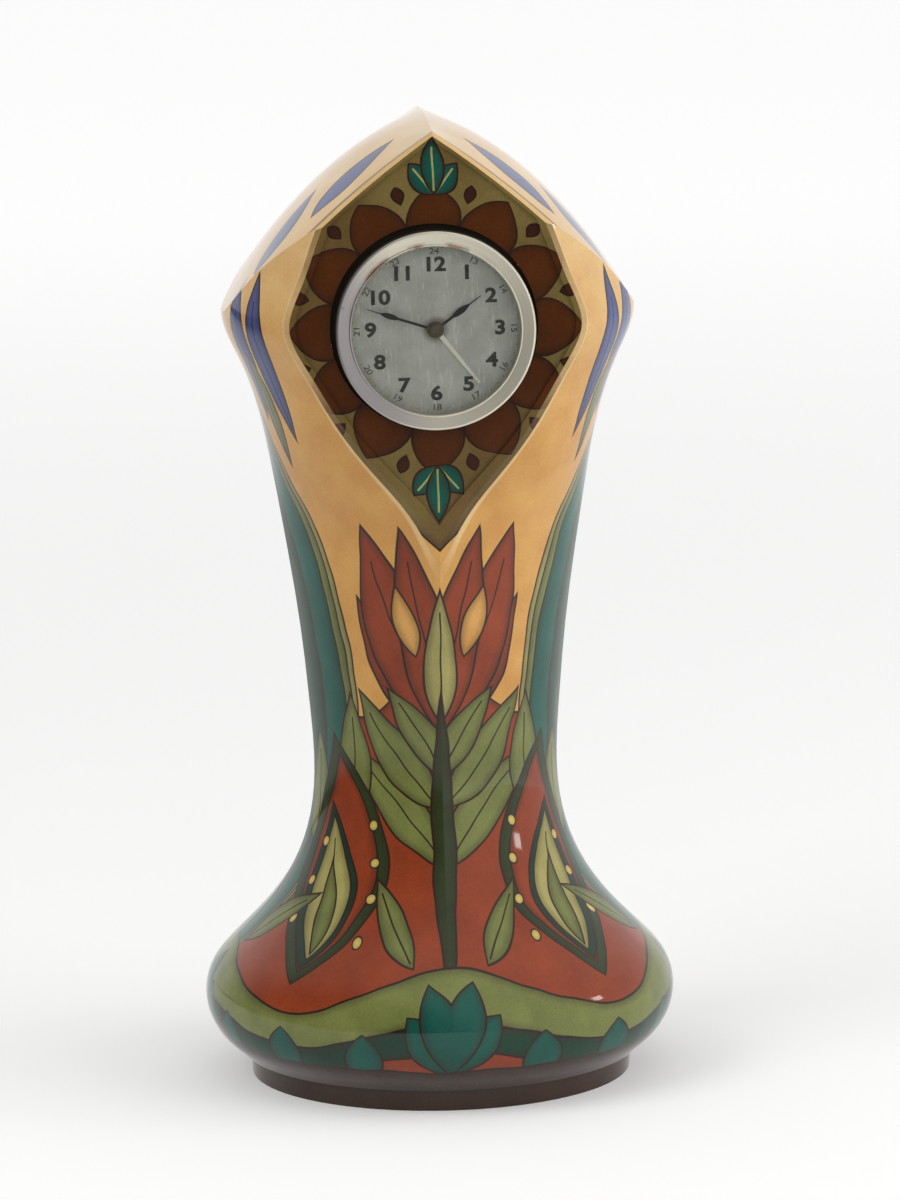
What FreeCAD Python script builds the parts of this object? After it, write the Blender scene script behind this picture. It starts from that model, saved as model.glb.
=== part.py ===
import FreeCAD, Part
import math
import os

# Mantel clock: a glazed pottery case with a round alarm clock movement set in its front.
# Frame in millimetres: +Z is up, the front faces -Y, +X is right, the origin is at the middle of the base.

# Driving dimensions of the pottery case.
case_height = 385.6
bulb_radius = 94.0
corner_reach = 82.4
case_half_depth = 58.0
case_wall = 6.5
foot_radius = 77.0
foot_taper = 0.8
foot_height = 8.8
foot_ring_width = 6.5
foot_recess_depth = 5.0
floor_thickness = 7.0
face_edge_bevel = 1.2
panel_rim_width = 2.4
panel_recess_depth = 1.2
winding_hole_radius = 42.0

# The dial's centre stands at this share of the case's height, on the level of the gable's corners.
dial_level_share = 0.7953
dial_height = dial_level_share * case_height

# Driving dimensions of the drum, its bezel and its dial.
bezel_radius = 39.0
bezel_opening_radius = 33.0
bezel_depth = 6.5
bezel_lip = 1.5
bezel_shoulder = 1.0
bezel_bead = 0.4
bezel_stand_out = 3.0
drum_wall = 0.7
drum_depth = 46.5
hole_clearance = 1.5
drum_shift_right = 0.55
drum_shift_down = 1.0
glass_thickness = 1.0
dial_ring_depth = 3.5
dial_ring_width = 3.6
dial_thickness = 0.5
dial_foot_radius = 0.8
dial_foot_ring_radius = 28.0
dial_foot_angle = 120.0
cover_thickness = 0.8
cover_inset = 0.9

# Fits: a turning shaft in its hole, pieces that are fixed together, and parts that only pass each other.
running_gap = 0.05
seat_gap = 0.03
loose_gap = 0.2
cut_overrun = 4.0

# Driving dimensions of the movement.
plate_radius = 34.0
plate_thickness = 1.2
plate_space = 22.0
motion_work_space = 4.6
pillar_ring_radius = 31.0
pillar_radius = 2.0
pillar_neck_radius = 1.2
pillar_nut_height = 1.2
pillar_angles = (350.0, 70.0, 165.0, 255.0)
cover_screw_head_radius = 2.3
cover_screw_head_height = 1.0
screw_slot_width = 0.5
screw_slot_depth = 0.4
arbor_endshake = 0.1
wheel_thickness = 1.0
pinion_length = 2.4

# Gear teeth, as shares of the module outward and of the tooth spacing sideways.
wheel_tooth_shares = ((-1.2, 0.25), (0.2, 0.2), (0.95, 0.0))
pinion_tooth_shares = ((-1.2, 0.17), (0.5, 0.12))

# Going train: teeth, modules and the side on which each arbor stands, in degrees from +X toward +Z.
great_teeth = 48
centre_pinion_teeth = 8
great_module = 0.57
centre_teeth = 48
third_pinion_teeth = 6
centre_module = 0.53
third_teeth = 45
fourth_pinion_teeth = 6
third_module = 0.46
fourth_teeth = 48
escape_pinion_teeth = 6
fourth_module = 0.4
great_side = 215.0
third_side = 140.0
fourth_side = 40.0
escape_side = -10.0
lever_side = 20.0
balance_side = -65.0
winding_arbor_radius = 1.6
centre_arbor_radius = 1.0
train_arbor_radius = 0.6
pivot_radius = 0.4

# Depths of the train between the plates, from the front plate backward.
great_depth = 2.0
ratchet_depth = 3.9
mainspring_depth = 6.5
centre_depth = 16.5
third_depth = 19.5
fourth_depth = 8.5
escape_depth = 12.0
lever_depth = 13.4
balance_depth = 15.4
hairspring_depth = 18.2
regulator_depth = 19.6

# Mainsprings, ratchets and clicks.
mainspring_turns = 5
mainspring_inner_radius = 3.4
mainspring_pitch = 1.7
mainspring_strip = 0.6
mainspring_width = 8.0
alarm_spring_turns = 4
ratchet_radius = 4.2
ratchet_teeth = 14
ratchet_thickness = 1.0
click_pivot_reach = 8.6
click_clearance = 0.3
click_half_width = 0.9
click_pivot_radius = 0.7

# Escapement.
escape_radius = 6.0
escape_teeth = 15
escape_tooth_length = 1.6
lever_distance = 9.0
pallet_pin_radius = 0.35
pallet_pin_clearance = 0.6
pallet_half_span = 38.0
lever_half_width = 0.6
lever_thickness = 0.8
fork_clearance = 0.4
fork_half_width = 1.3
fork_slot_half_width = 0.45
fork_slot_depth = 1.6
balance_distance = 10.0
balance_radius = 8.0
balance_rim = 1.2
balance_thickness = 1.2
roller_radius = 2.5
roller_thickness = 0.6
impulse_pin_reach = 1.9
impulse_pin_radius = 0.3
hairspring_turns = 5
hairspring_inner_radius = 1.9
hairspring_pitch = 0.75
hairspring_strip = 0.2
hairspring_width = 0.5
regulator_thickness = 0.8
regulator_boss_radius = 1.5
regulator_reach = 11.0
regulator_side = 150.0
regulator_half_turn = 15.0
regulator_pin_radius = 0.6
regulator_half_width = 1.0

# Motion work behind the dial and the pipes through it.
motion_distance = 9.6
cannon_teeth = 10
minute_teeth = 30
minute_pinion_teeth = 10
hour_teeth = 40
motion_side = 200.0
motion_wheel_thickness = 0.9
motion_level_gap = 0.3
motion_stud_radius = 0.7
pipe_wall = 0.5

# Alarm work.
alarm_wheel_teeth = 30
alarm_set_teeth = 15
alarm_set_distance = 15.0
alarm_set_side = 10.0
alarm_set_radius = 0.8
alarm_side = 322.6
alarm_distance = 19.1
alarm_great_teeth = 42
alarm_pinion_teeth = 6
alarm_module = 0.55
alarm_escape_side = 230.0
alarm_escape_radius = 5.4
alarm_escape_teeth = 18
alarm_escape_depth = 17.0
hammer_side = 200.0
hammer_distance = 8.4
bell_drop = 17.5
bell_shift = -1.0
bell_radius = 10.5
bell_wall = 0.8
bell_depth = 7.0
bell_gap = 1.3
bell_post_radius = 1.5
bell_screw_height = 1.2
hammer_head_radius = 1.4
hammer_head_length = 4.0
hammer_head_reach = 7.8
hammer_head_side = 190.0
hammer_arm_depth = 3.0
stop_rise = 20.0
stop_radius = 1.2
stop_button_radius = 3.0
stop_button_thickness = 2.0
stop_travel = 2.5
stop_length_inside = 6.0

# Knobs and keys behind the cover.
knob_gap = 1.2
knob_length = 5.0
hand_knob_radius = 5.5
alarm_knob_radius = 4.5
knob_flutes = 18
knob_flute_share = 0.07
key_gap = 1.4
key_hub_radius = 2.7
key_hub_length = 6.0
key_wing_reach = 9.0
key_wing_depth = 10.0
key_wing_thickness = 1.6
key_wing_hole_radius = 2.0
time_key_turn = 25.0
alarm_key_turn = -20.0

# Hands.
hour_hand_length = 22.0
minute_hand_length = 28.0
alarm_hand_length = 27.0
hand_thickness = 0.3
hand_level_gap = 0.45
hand_hub_width = 0.9
hour_angle = 54.0
minute_angle = 288.0
alarm_angle = 141.5
hand_nut_height = 0.7

# Clips that hold the drum against the inside of the case.
clip_count = 3
clip_first_angle = 30.0
clip_half_angle = 6.0
clip_thickness = 0.8
clip_length = 15.0
clip_foot_share = 0.45
clip_screw_radius = 1.1
clip_screw_head_radius = 2.0
clip_screw_head_height = 0.9
clip_screw_set_back = 9.0
clip_screw_inside = 0.9

# The tower's cross-sections, from the foot up. Each row holds the height as a share of case_height, the
# reach of the four corners as a share of bulb_radius or corner_reach, how sharp the four upright ridges are,
# and how full the sides between them are. A ridge share of 0 with a fullness share of 0.5523 is a circle.
bulb_shares = (
    (0.0229, 0.843, 0.0, 0.5523),
    (0.0408, 0.925, 0.0, 0.5523),
    (0.0730, 0.998, 0.0, 0.5523),
    (0.1071, 0.989, 0.0, 0.5523),
    (0.1426, 0.880, 0.0, 0.5523),
    (0.1761, 0.747, 0.01, 0.5470),
)
neck_shares = (
    (0.2205, 0.7058, 0.03, 0.530),
    (0.2635, 0.6268, 0.06, 0.500),
    (0.3095, 0.5938, 0.09, 0.465),
    (0.3848, 0.6061, 0.11, 0.440),
    (0.4629, 0.6406, 0.12, 0.440),
    (0.5416, 0.6913, 0.12, 0.440),
    (0.5941, 0.7310, 0.11, 0.455),
    (0.6478, 0.7744, 0.05, 0.550),
    (0.7005, 0.8276, 0.01, 0.610),
    (0.7534, 0.9158, 0.0, 0.590),
    (0.7992, 0.9944, 0.0, 0.555),
    (0.8438, 0.9512, 0.0, 0.5523),
    (0.8881, 0.9017, 0.0, 0.5523),
    (0.9359, 0.8416, 0.0, 0.5523),
    (0.9821, 0.7816, 0.0, 0.5523),
    (1.0303, 0.7218, 0.0, 0.5523),
)

# The roof's outline at mid depth and at its gable ends: curve points, as shares of corner_reach and of
# case_height.
roof_mid_shares = ((0.0, 1.0), (0.3, 0.984), (0.814, 0.911), (1.181, 0.717))
roof_end_shares = ((0.0, 0.9938), (0.393, 0.932), (0.881, 0.8415), (1.181, 0.7375))
roof_foot_share = 0.6
roof_lean_share = 1.3
face_start_share = 0.3095

vertical = FreeCAD.Vector(0, 0, 1)
backward = FreeCAD.Vector(0, 1, 0)
os.makedirs("parts", exist_ok=True)

# Depths along Y that several pieces share, from the bezel's front to the drum's back.
case_front = -case_half_depth
bezel_front = case_front - bezel_stand_out
bezel_back = bezel_front + bezel_depth
drum_front = bezel_front + bezel_lip
drum_back = drum_front + drum_depth
glass_back = drum_front + glass_thickness
dial_front = glass_back + dial_ring_depth
dial_back = dial_front + dial_thickness
plate_front = dial_back + motion_work_space
train_front = plate_front + plate_thickness
train_back = train_front + plate_space
plate_back = train_back + plate_thickness
cover_back = drum_back - cover_inset
cover_front = cover_back - cover_thickness
drum_radius = bezel_radius - bezel_shoulder
drum_bore = drum_radius - drum_wall

# Pipes around the centre arbor, from the inside out.
cannon_pipe_radius = centre_arbor_radius + pipe_wall
hour_pipe_bore = cannon_pipe_radius + running_gap
hour_pipe_radius = hour_pipe_bore + pipe_wall
alarm_pipe_bore = hour_pipe_radius + running_gap
alarm_pipe_radius = alarm_pipe_bore + pipe_wall

# Levels of the motion work, counted forward from the front plate, and of the hands, forward from the dial.
motion_back = plate_front - motion_level_gap
motion_front = motion_back - motion_wheel_thickness
hour_back = motion_front - motion_level_gap
hour_front = hour_back - motion_wheel_thickness
alarm_back = hour_front - motion_level_gap
alarm_front = alarm_back - motion_wheel_thickness
alarm_hand_back = dial_front - hand_level_gap
alarm_hand_front = alarm_hand_back - hand_thickness
hour_hand_back = alarm_hand_front - hand_level_gap
hour_hand_front = hour_hand_back - hand_thickness
minute_hand_back = hour_hand_front - hand_level_gap
minute_hand_front = minute_hand_back - hand_thickness


def save(shape, name):
    """Write one sub-part."""
    shape.exportStep("parts/" + name + ".step")


def at(spot, depth):
    """A point of the movement: spot is right and up from the dial's centre, depth is along Y."""
    return FreeCAD.Vector(spot[0], depth, dial_height + spot[1])


def toward(spot, distance, side):
    """The spot that lies at a distance from another, on the side given in degrees from +X toward +Z."""
    turn = math.radians(side)
    return (spot[0] + distance * math.cos(turn), spot[1] + distance * math.sin(turn))


def apart(one, other):
    """The distance between two spots."""
    return math.hypot(other[0] - one[0], other[1] - one[1])


def side_of(one, other):
    """The side on which one spot sees another, in degrees."""
    return math.degrees(math.atan2(other[1] - one[1], other[0] - one[0]))


def disc(spot, radius, front, back):
    return Part.makeCylinder(radius, back - front, at(spot, front), backward)


def ring(spot, radius, bore, front, back):
    hole = disc(spot, bore, front - cut_overrun, back + cut_overrun)
    return disc(spot, radius, front, back).cut(hole)


def slab(outline, front, back):
    """A flat piece with a closed outline of spots, from one depth to another."""
    points = [at(spot, front) for spot in outline]
    face = Part.Face(Part.makePolygon(points + points[:1]))
    return face.extrude(backward * (back - front))


def bar(one, other, half_width, front, back):
    """A straight arm with round ends between two spots."""
    turn = math.radians(side_of(one, other) + 90)
    across = (half_width * math.cos(turn), half_width * math.sin(turn))
    corners = []
    for spot, sign in ((one, 1), (other, 1), (other, -1), (one, -1)):
        corners.append((spot[0] + sign * across[0], spot[1] + sign * across[1]))
    arm = slab(corners, front, back)
    return arm.fuse([disc(one, half_width, front, back), disc(other, half_width, front, back)])


def toothed_outline(spot, teeth, module, tooth_shares, phase):
    """The outline of a gear whose tooth number 0 stands at the angle phase, in radians."""
    pitch_radius = teeth * module / 2
    spacing = 2 * math.pi / teeth
    outline = []
    for number in range(teeth):
        middle = phase + number * spacing
        flank = [(pitch_radius + rise * module, half * spacing) for rise, half in tooth_shares]
        for radius, offset in flank:
            outline.append(toward(spot, radius, math.degrees(middle - offset)))
        for radius, offset in reversed(flank):
            if offset > 0:
                outline.append(toward(spot, radius, math.degrees(middle + offset)))
    return outline


def gear(spot, teeth, module, tooth_shares, phase, front, back):
    return slab(toothed_outline(spot, teeth, module, tooth_shares, phase), front, back)


def meshing_phase(spot, teeth, phase, partner_spot, partner_teeth):
    """The phase that sets a partner's tooth space on this gear's tooth."""
    direction = math.radians(side_of(spot, partner_spot))
    shift_share = (phase - direction) / (2 * math.pi / teeth)
    return direction + math.pi - (shift_share + 0.5) * (2 * math.pi / partner_teeth)


def crossed_out(wheel, spot, rim_radius, hub_radius, spokes, spoke_half_width, front, back):
    """A wheel with its web cut away between the spokes."""
    window = ring(spot, rim_radius, hub_radius, front - cut_overrun, back + cut_overrun)
    for number in range(spokes):
        tip = toward(spot, rim_radius + spoke_half_width, number * 360 / spokes)
        spoke = bar(spot, tip, spoke_half_width, front - 2 * cut_overrun, back + 2 * cut_overrun)
        window = window.cut(spoke)
    return wheel.cut(window)


def arbor(spot, radius, back_plate_radius):
    """An arbor between the plates, with a pivot in each; the rear pivot may be the full radius."""
    body = disc(spot, radius, train_front + arbor_endshake, train_back - arbor_endshake)
    front_pivot = disc(spot, pivot_radius, plate_front, train_front + arbor_endshake)
    back_pivot = disc(spot, back_plate_radius, train_back - arbor_endshake, plate_back)
    return body.fuse([front_pivot, back_pivot])


def saw_wheel(spot, radius, tooth_length, teeth, front, back):
    """A wheel with pointed, leaning teeth, such as a ratchet or an escape wheel."""
    outline = []
    for number in range(teeth):
        angle = number * 360 / teeth
        outline.append(toward(spot, radius, angle))
        outline.append(toward(spot, radius - tooth_length, angle + 90 / teeth))
    return slab(outline, front, back)


def spiral_strip(spot, inner_radius, pitch, strip, turns, front, back):
    """A flat spring: a strip wound in half turns about two centres, open at both ends."""
    edges = []
    ends = []
    for offset in (0, strip):
        radius = inner_radius + offset
        middle_x = spot[0]
        side = 1
        sweep = []
        for half_turn in range(2 * turns):
            start = (middle_x + side * radius, spot[1])
            top = (middle_x, spot[1] + side * radius)
            finish = (middle_x - side * radius, spot[1])
            sweep.append(Part.Arc(at(start, front), at(top, front), at(finish, front)).toShape())
            if half_turn == 0:
                first = start
            middle_x = middle_x + side * pitch / 2
            radius = radius + pitch / 2
            side = -side
        edges.append(sweep)
        ends.append((first, finish))
    caps = [Part.makeLine(at(ends[0][place], front), at(ends[1][place], front)) for place in (0, 1)]
    face = Part.Face(Part.Wire(Part.__sortEdges__(edges[0] + edges[1] + caps)))
    return face.extrude(backward * (back - front))


def turned(shape, spot, degrees):
    """A shape turned about an axis along Y; positive is clockwise seen from the front."""
    copy = shape.copy()
    copy.rotate(at(spot, 0), backward, degrees)
    return copy


# Spots of the arbors, right and up from the dial's centre.
centre = (0, 0)
great_distance = (great_teeth + centre_pinion_teeth) * great_module / 2
third_distance = (centre_teeth + third_pinion_teeth) * centre_module / 2
fourth_distance = (third_teeth + fourth_pinion_teeth) * third_module / 2
escape_distance = (fourth_teeth + escape_pinion_teeth) * fourth_module / 2
alarm_escape_distance = (alarm_great_teeth + alarm_pinion_teeth) * alarm_module / 2
great = toward(centre, great_distance, great_side)
third = toward(centre, third_distance, third_side)
fourth = toward(third, fourth_distance, fourth_side)
escape = toward(fourth, escape_distance, escape_side)
lever = toward(escape, lever_distance, lever_side)
balance = toward(lever, balance_distance, balance_side)
motion = toward(centre, motion_distance, motion_side)
alarm_set = toward(centre, alarm_set_distance, alarm_set_side)
alarm = toward(centre, alarm_distance, alarm_side)
alarm_escape = toward(alarm, alarm_escape_distance, alarm_escape_side)
hammer = toward(alarm_escape, hammer_distance, hammer_side)
bell = (bell_shift, -bell_drop)
stop = (0, stop_rise)
pillars = [toward(centre, pillar_ring_radius, angle) for angle in pillar_angles]
dial_feet = [toward(centre, dial_foot_ring_radius, dial_foot_angle + turn) for turn in (0, 180)]


# Pottery case: a slip-cast and glazed shell on a round bulbous foot, gabled like a roof at the top.
def tower_section(height_share, reach, ridge_share, fullness_share):
    """One closed section of the tower: four equal curves between four corners."""
    height = height_share * case_height
    corners = [FreeCAD.Vector(reach, 0, 0), FreeCAD.Vector(0, reach, 0)]
    corners += [-corners[0], -corners[1]]
    edges = []
    for number in range(4):
        start = corners[number]
        finish = corners[(number + 1) % 4]
        points = [
            start,
            start * (1 - ridge_share) + finish * fullness_share,
            finish * (1 - ridge_share) + start * fullness_share,
            finish,
        ]
        curve = Part.BezierCurve()
        curve.setPoles([point + vertical * height for point in points])
        edges.append(curve.toShape())
    return Part.Wire(edges)


def tower_form(inset):
    sections = []
    for table, reach in ((bulb_shares, bulb_radius), (neck_shares, corner_reach)):
        for height_share, reach_share, ridge_share, fullness_share in table:
            width = reach_share * reach - inset
            sections.append(tower_section(height_share, width, ridge_share, fullness_share))
    return Part.makeLoft(sections, True, False)


def roof_profile(shares, depth, drop):
    """A gable outline across the case: two curved slopes from the ridge, closed far below."""
    right = []
    left = []
    for reach_share, height_share in shares:
        height = height_share * case_height - drop
        right.append(FreeCAD.Vector(reach_share * corner_reach, depth, height))
        left.append(FreeCAD.Vector(-reach_share * corner_reach, depth, height))
    slopes = []
    for points in (right, left[::-1]):
        curve = Part.BezierCurve()
        curve.setPoles(points)
        slopes.append(curve.toShape())
    right_foot = FreeCAD.Vector(right[-1].x, depth, roof_foot_share * case_height)
    left_foot = FreeCAD.Vector(left[-1].x, depth, roof_foot_share * case_height)
    base = Part.makePolygon([right[-1], right_foot, left_foot, left[-1]]).Edges
    return Part.Wire([slopes[0]] + base + [slopes[1]])


def case_form(inset, half_depth):
    """The case's outside, or with an inset its inside: tower, roof and two upright faces together."""
    tower = tower_form(inset)
    drop = inset * roof_lean_share
    end = case_half_depth + cut_overrun
    roof = Part.makeLoft(
        [
            roof_profile(roof_end_shares, -end, drop),
            roof_profile(roof_mid_shares, 0, drop),
            roof_profile(roof_end_shares, end, drop),
        ],
        True,
        False,
    )
    width = 4 * bulb_radius
    start = face_start_share * case_height
    eaves = (roof_foot_share + neck_shares[7][0]) / 2 * case_height
    top = 2 * case_height
    between_faces = Part.makeBox(
        width, 2 * half_depth, top, FreeCAD.Vector(-width / 2, -half_depth, start)
    )
    above_roof = Part.makeBox(width, width, top, FreeCAD.Vector(-width / 2, -width / 2, eaves)).cut(roof)
    below = Part.makeBox(width, width, start, FreeCAD.Vector(-width / 2, -width / 2, 0))
    upper = tower.common(between_faces).cut(above_roof)
    return upper, tower.common(below)


def beveled_upper(upper):
    """The upper case with the edges of its two upright faces beveled."""
    tolerance = seat_gap
    rims = []
    for edge in upper.Edges:
        box = edge.BoundBox
        on_face = abs(abs(box.YMin) - case_half_depth) < tolerance and box.YLength < tolerance
        if on_face:
            rims.append(edge)
    return upper.makeChamfer(face_edge_bevel, rims)


upper_case, lower_case = case_form(0, case_half_depth)
upper_case = beveled_upper(upper_case)
foot = Part.makeCone(foot_radius - foot_taper, foot_radius, foot_height)
foot_seat = bulb_shares[0][0] * case_height
foot_collar = Part.makeCylinder(foot_radius, foot_seat - foot_height + cut_overrun, vertical * foot_height)
foot = foot.fuse(foot_collar)
outside = upper_case.fuse([lower_case, foot]).removeSplitter()

upper_room, lower_room = case_form(case_wall, case_half_depth - case_wall)
room_floor = foot_recess_depth + floor_thickness
room_base = Part.makeCylinder(2 * bulb_radius, room_floor)
inside = upper_room.fuse(lower_room).removeSplitter().cut(room_base)

hole_radius = bezel_radius + hole_clearance
hole_spot = (-drum_shift_right, drum_shift_down)
front_hole = disc(hole_spot, hole_radius, case_front - cut_overrun, case_front + case_wall + cut_overrun)
back_hole = disc(centre, winding_hole_radius, case_half_depth - case_wall - cut_overrun,
                 case_half_depth + cut_overrun)
foot_recess = Part.makeCylinder(foot_radius - foot_ring_width, foot_recess_depth)
panel_form = case_form(panel_rim_width, case_half_depth)[0]
panel_slice = Part.makeBox(
    4 * bulb_radius, panel_recess_depth, case_height,
    FreeCAD.Vector(-2 * bulb_radius, case_front, face_start_share * case_height),
)
panel_recess = panel_form.common(panel_slice)
ceramic_case = outside.cut([inside, front_hole, back_hole, foot_recess, panel_recess])
save(ceramic_case, "ceramic_case")


# Bezel: spun nickel ring with a rolled bead around the opening, pushed over the drum.
def spun(points_and_arcs):
    """A ring turned about the dial's axis from a closed outline of radius and depth."""
    outline = []
    for kind, points in points_and_arcs:
        vectors = [FreeCAD.Vector(radius, depth, dial_height) for radius, depth in points]
        if kind == "line":
            outline += Part.makePolygon(vectors).Edges
        else:
            outline.append(Part.Arc(*vectors).toShape())
    face = Part.Face(Part.Wire(outline))
    return face.revolve(at(centre, 0), backward, 360)


bezel_slope = bezel_shoulder * 0.6
inner_lip = bezel_opening_radius + 2 * bezel_bead
corner_start = (bezel_radius, bezel_front + bezel_shoulder)
corner_middle = (bezel_radius - bezel_shoulder * 0.3, bezel_front + bezel_shoulder * 0.3)
corner_end = (bezel_radius - bezel_shoulder, bezel_front)
bead_start = (inner_lip, bezel_front + bezel_slope)
bead_middle = (bezel_opening_radius + bezel_bead, bezel_front + bezel_slope - bezel_bead)
bead_end = (bezel_opening_radius, bezel_front + bezel_slope)
skirt_bore = drum_radius + running_gap
bezel = spun((
    ("line", ((skirt_bore, drum_front), (skirt_bore, bezel_back), (bezel_radius, bezel_back), corner_start)),
    ("arc", (corner_start, corner_middle, corner_end)),
    ("line", (corner_end, bead_start)),
    ("arc", (bead_start, bead_middle, bead_end)),
    ("line", (bead_end, (bezel_opening_radius, drum_front), (skirt_bore, drum_front))),
))
save(bezel, "bezel")

# Glass, the ring that holds it off the dial, and the dial on its two feet.
save(disc(centre, drum_bore - loose_gap, drum_front, glass_back), "glass")
dial_ring = ring(centre, drum_bore - loose_gap, drum_bore - dial_ring_width, glass_back, dial_front)
save(dial_ring, "dial_ring")
dial = ring(centre, drum_bore - loose_gap, alarm_pipe_radius + loose_gap, dial_front, dial_back)
dial = dial.fuse([disc(foot_spot, dial_foot_radius, dial_back, plate_front) for foot_spot in dial_feet])
save(dial, "dial")

# Drum: the round sheet-metal housing behind the bezel.
drum_case = ring(centre, drum_radius, drum_bore, drum_front, drum_back)
clip_angles = [clip_first_angle + number * 360 / clip_count for number in range(clip_count)]
wall_inside = case_front + case_wall
clip_screw_depth = wall_inside + clip_screw_set_back
screw_holes = []
for angle in clip_angles:
    direction = FreeCAD.Vector(math.cos(math.radians(angle)), 0, math.sin(math.radians(angle)))
    start = at(toward(centre, drum_bore - clip_screw_inside - cut_overrun, angle), clip_screw_depth)
    reach = 2 * cut_overrun + drum_wall + clip_screw_inside + clip_thickness
    screw_holes.append(Part.makeCylinder(clip_screw_radius + seat_gap, reach, start, direction))
drum_case = drum_case.cut(screw_holes)
save(drum_case, "drum_case")


# Clips: three steel strips screwed to the drum, whose feet bear on the inside of the case's front wall.
def sector(radius, bore, middle_angle, half_angle, front, back):
    """A piece of a ring about the dial's axis."""
    full = ring(centre, radius, bore, front, back)
    wedge_reach = 2 * radius
    wedge = [
        centre,
        toward(centre, wedge_reach, middle_angle - half_angle),
        toward(centre, wedge_reach, middle_angle + half_angle),
    ]
    return full.common(slab(wedge, front - cut_overrun, back + cut_overrun))


clip_bore = drum_radius + running_gap
room_half_width = math.sqrt((corner_reach - case_wall) ** 2 - (case_half_depth - case_wall) ** 2)
clip_foot_reach = clip_foot_share * (room_half_width - clip_bore)
clips = []
screws = []
for angle, hole in zip(clip_angles, screw_holes):
    strap = sector(clip_bore + clip_thickness, clip_bore, angle, clip_half_angle, wall_inside,
                   wall_inside + clip_length)
    clip_foot = sector(clip_bore + clip_foot_reach, clip_bore, angle, clip_half_angle, wall_inside,
                       wall_inside + clip_thickness)
    clips.append(strap.fuse(clip_foot).cut(hole))
    direction = FreeCAD.Vector(math.cos(math.radians(angle)), 0, math.sin(math.radians(angle)))
    head_seat = clip_bore + clip_thickness
    shank_start = drum_bore - clip_screw_inside
    shank = Part.makeCylinder(clip_screw_radius, head_seat - shank_start,
                              at(toward(centre, shank_start, angle), clip_screw_depth), direction)
    head = Part.makeCylinder(clip_screw_head_radius, clip_screw_head_height,
                             at(toward(centre, head_seat, angle), clip_screw_depth), direction)
    screws.append(shank.fuse(head))
save(Part.makeCompound(clips), "case_clips")
save(Part.makeCompound(screws), "clip_screws")

# Plates: two brass discs with the arbors' holes between them.
turning_spots = (third, fourth, escape, lever, balance, alarm_escape, hammer)
small_holes = [(spot, pivot_radius) for spot in turning_spots]
neck_holes = [(spot, pillar_neck_radius) for spot in pillars]
front_holes = small_holes + neck_holes + [
    (centre, centre_arbor_radius),
    (great, pivot_radius),
    (alarm, pivot_radius),
    (alarm_set, alarm_set_radius),
    (motion, motion_stud_radius),
]
back_holes = small_holes + neck_holes + [
    (centre, centre_arbor_radius),
    (great, winding_arbor_radius),
    (alarm, winding_arbor_radius),
    (alarm_set, alarm_set_radius),
    (bell, bell_post_radius / 2),
]


def drilled(plate, holes, gap, front, back):
    cuts = [disc(spot, radius + gap, front - cut_overrun, back + cut_overrun) for spot, radius in holes]
    return plate.cut(cuts)


regulator_slot = ring(balance, regulator_reach + regulator_pin_radius + loose_gap,
                      regulator_reach - regulator_pin_radius - loose_gap, train_back - cut_overrun,
                      cover_back + cut_overrun)
slot_half_turn = regulator_half_turn + math.degrees((regulator_pin_radius + loose_gap) / regulator_reach)
slot_wedge = [
    balance,
    toward(balance, 2 * regulator_reach, regulator_side - slot_half_turn),
    toward(balance, 2 * regulator_reach, regulator_side + slot_half_turn),
]
regulator_slot = regulator_slot.common(slab(slot_wedge, train_back - cut_overrun, cover_back + cut_overrun))
front_plate = drilled(disc(centre, plate_radius, plate_front, train_front), front_holes, running_gap,
                      plate_front, train_front)
save(front_plate, "front_plate")
back_plate = drilled(disc(centre, plate_radius, train_back, plate_back), back_holes, running_gap,
                     train_back, plate_back).cut(regulator_slot)


# Pillars with their front nuts, and the posts that carry the back cover.
def hexagon(spot, across_radius, front, back):
    corners = [toward(spot, across_radius, number * 60) for number in range(6)]
    return slab(corners, front, back)


pillar_set = []
nut_set = []
post_set = []
cover_screw_set = []
post_neck = (cover_front - plate_back) / 3
for spot in pillars:
    neck = disc(spot, pillar_neck_radius, plate_front - pillar_nut_height, plate_back + post_neck)
    pillar_set.append(disc(spot, pillar_radius, train_front, train_back).fuse(neck))
    nut = hexagon(spot, pillar_radius, plate_front - pillar_nut_height, plate_front)
    nut_hole = disc(spot, pillar_neck_radius + seat_gap, plate_front - cut_overrun, plate_front)
    nut_set.append(nut.cut(nut_hole))
    post = hexagon(spot, pillar_radius, plate_back, cover_front)
    post = post.cut(disc(spot, pillar_neck_radius + seat_gap, plate_back, plate_back + post_neck))
    post = post.cut(disc(spot, pillar_neck_radius + seat_gap, cover_front - post_neck, cover_front))
    post_set.append(post)
    head = disc(spot, cover_screw_head_radius, cover_back, cover_back + cover_screw_head_height)
    slot_half = screw_slot_width / 2
    slot_end = cover_screw_head_radius + cut_overrun
    slot = slab(
        [
            (spot[0] - slot_end, spot[1] - slot_half),
            (spot[0] + slot_end, spot[1] - slot_half),
            (spot[0] + slot_end, spot[1] + slot_half),
            (spot[0] - slot_end, spot[1] + slot_half),
        ],
        cover_back + cover_screw_head_height - screw_slot_depth,
        cover_back + cover_screw_head_height + cut_overrun,
    )
    shank = disc(spot, pillar_neck_radius, cover_front - post_neck + loose_gap, cover_back)
    cover_screw_set.append(head.cut(slot).fuse(shank))
save(Part.makeCompound(pillar_set), "pillars")
save(Part.makeCompound(nut_set), "pillar_nuts")
save(Part.makeCompound(post_set), "cover_posts")
save(Part.makeCompound(cover_screw_set), "cover_screws")

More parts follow.
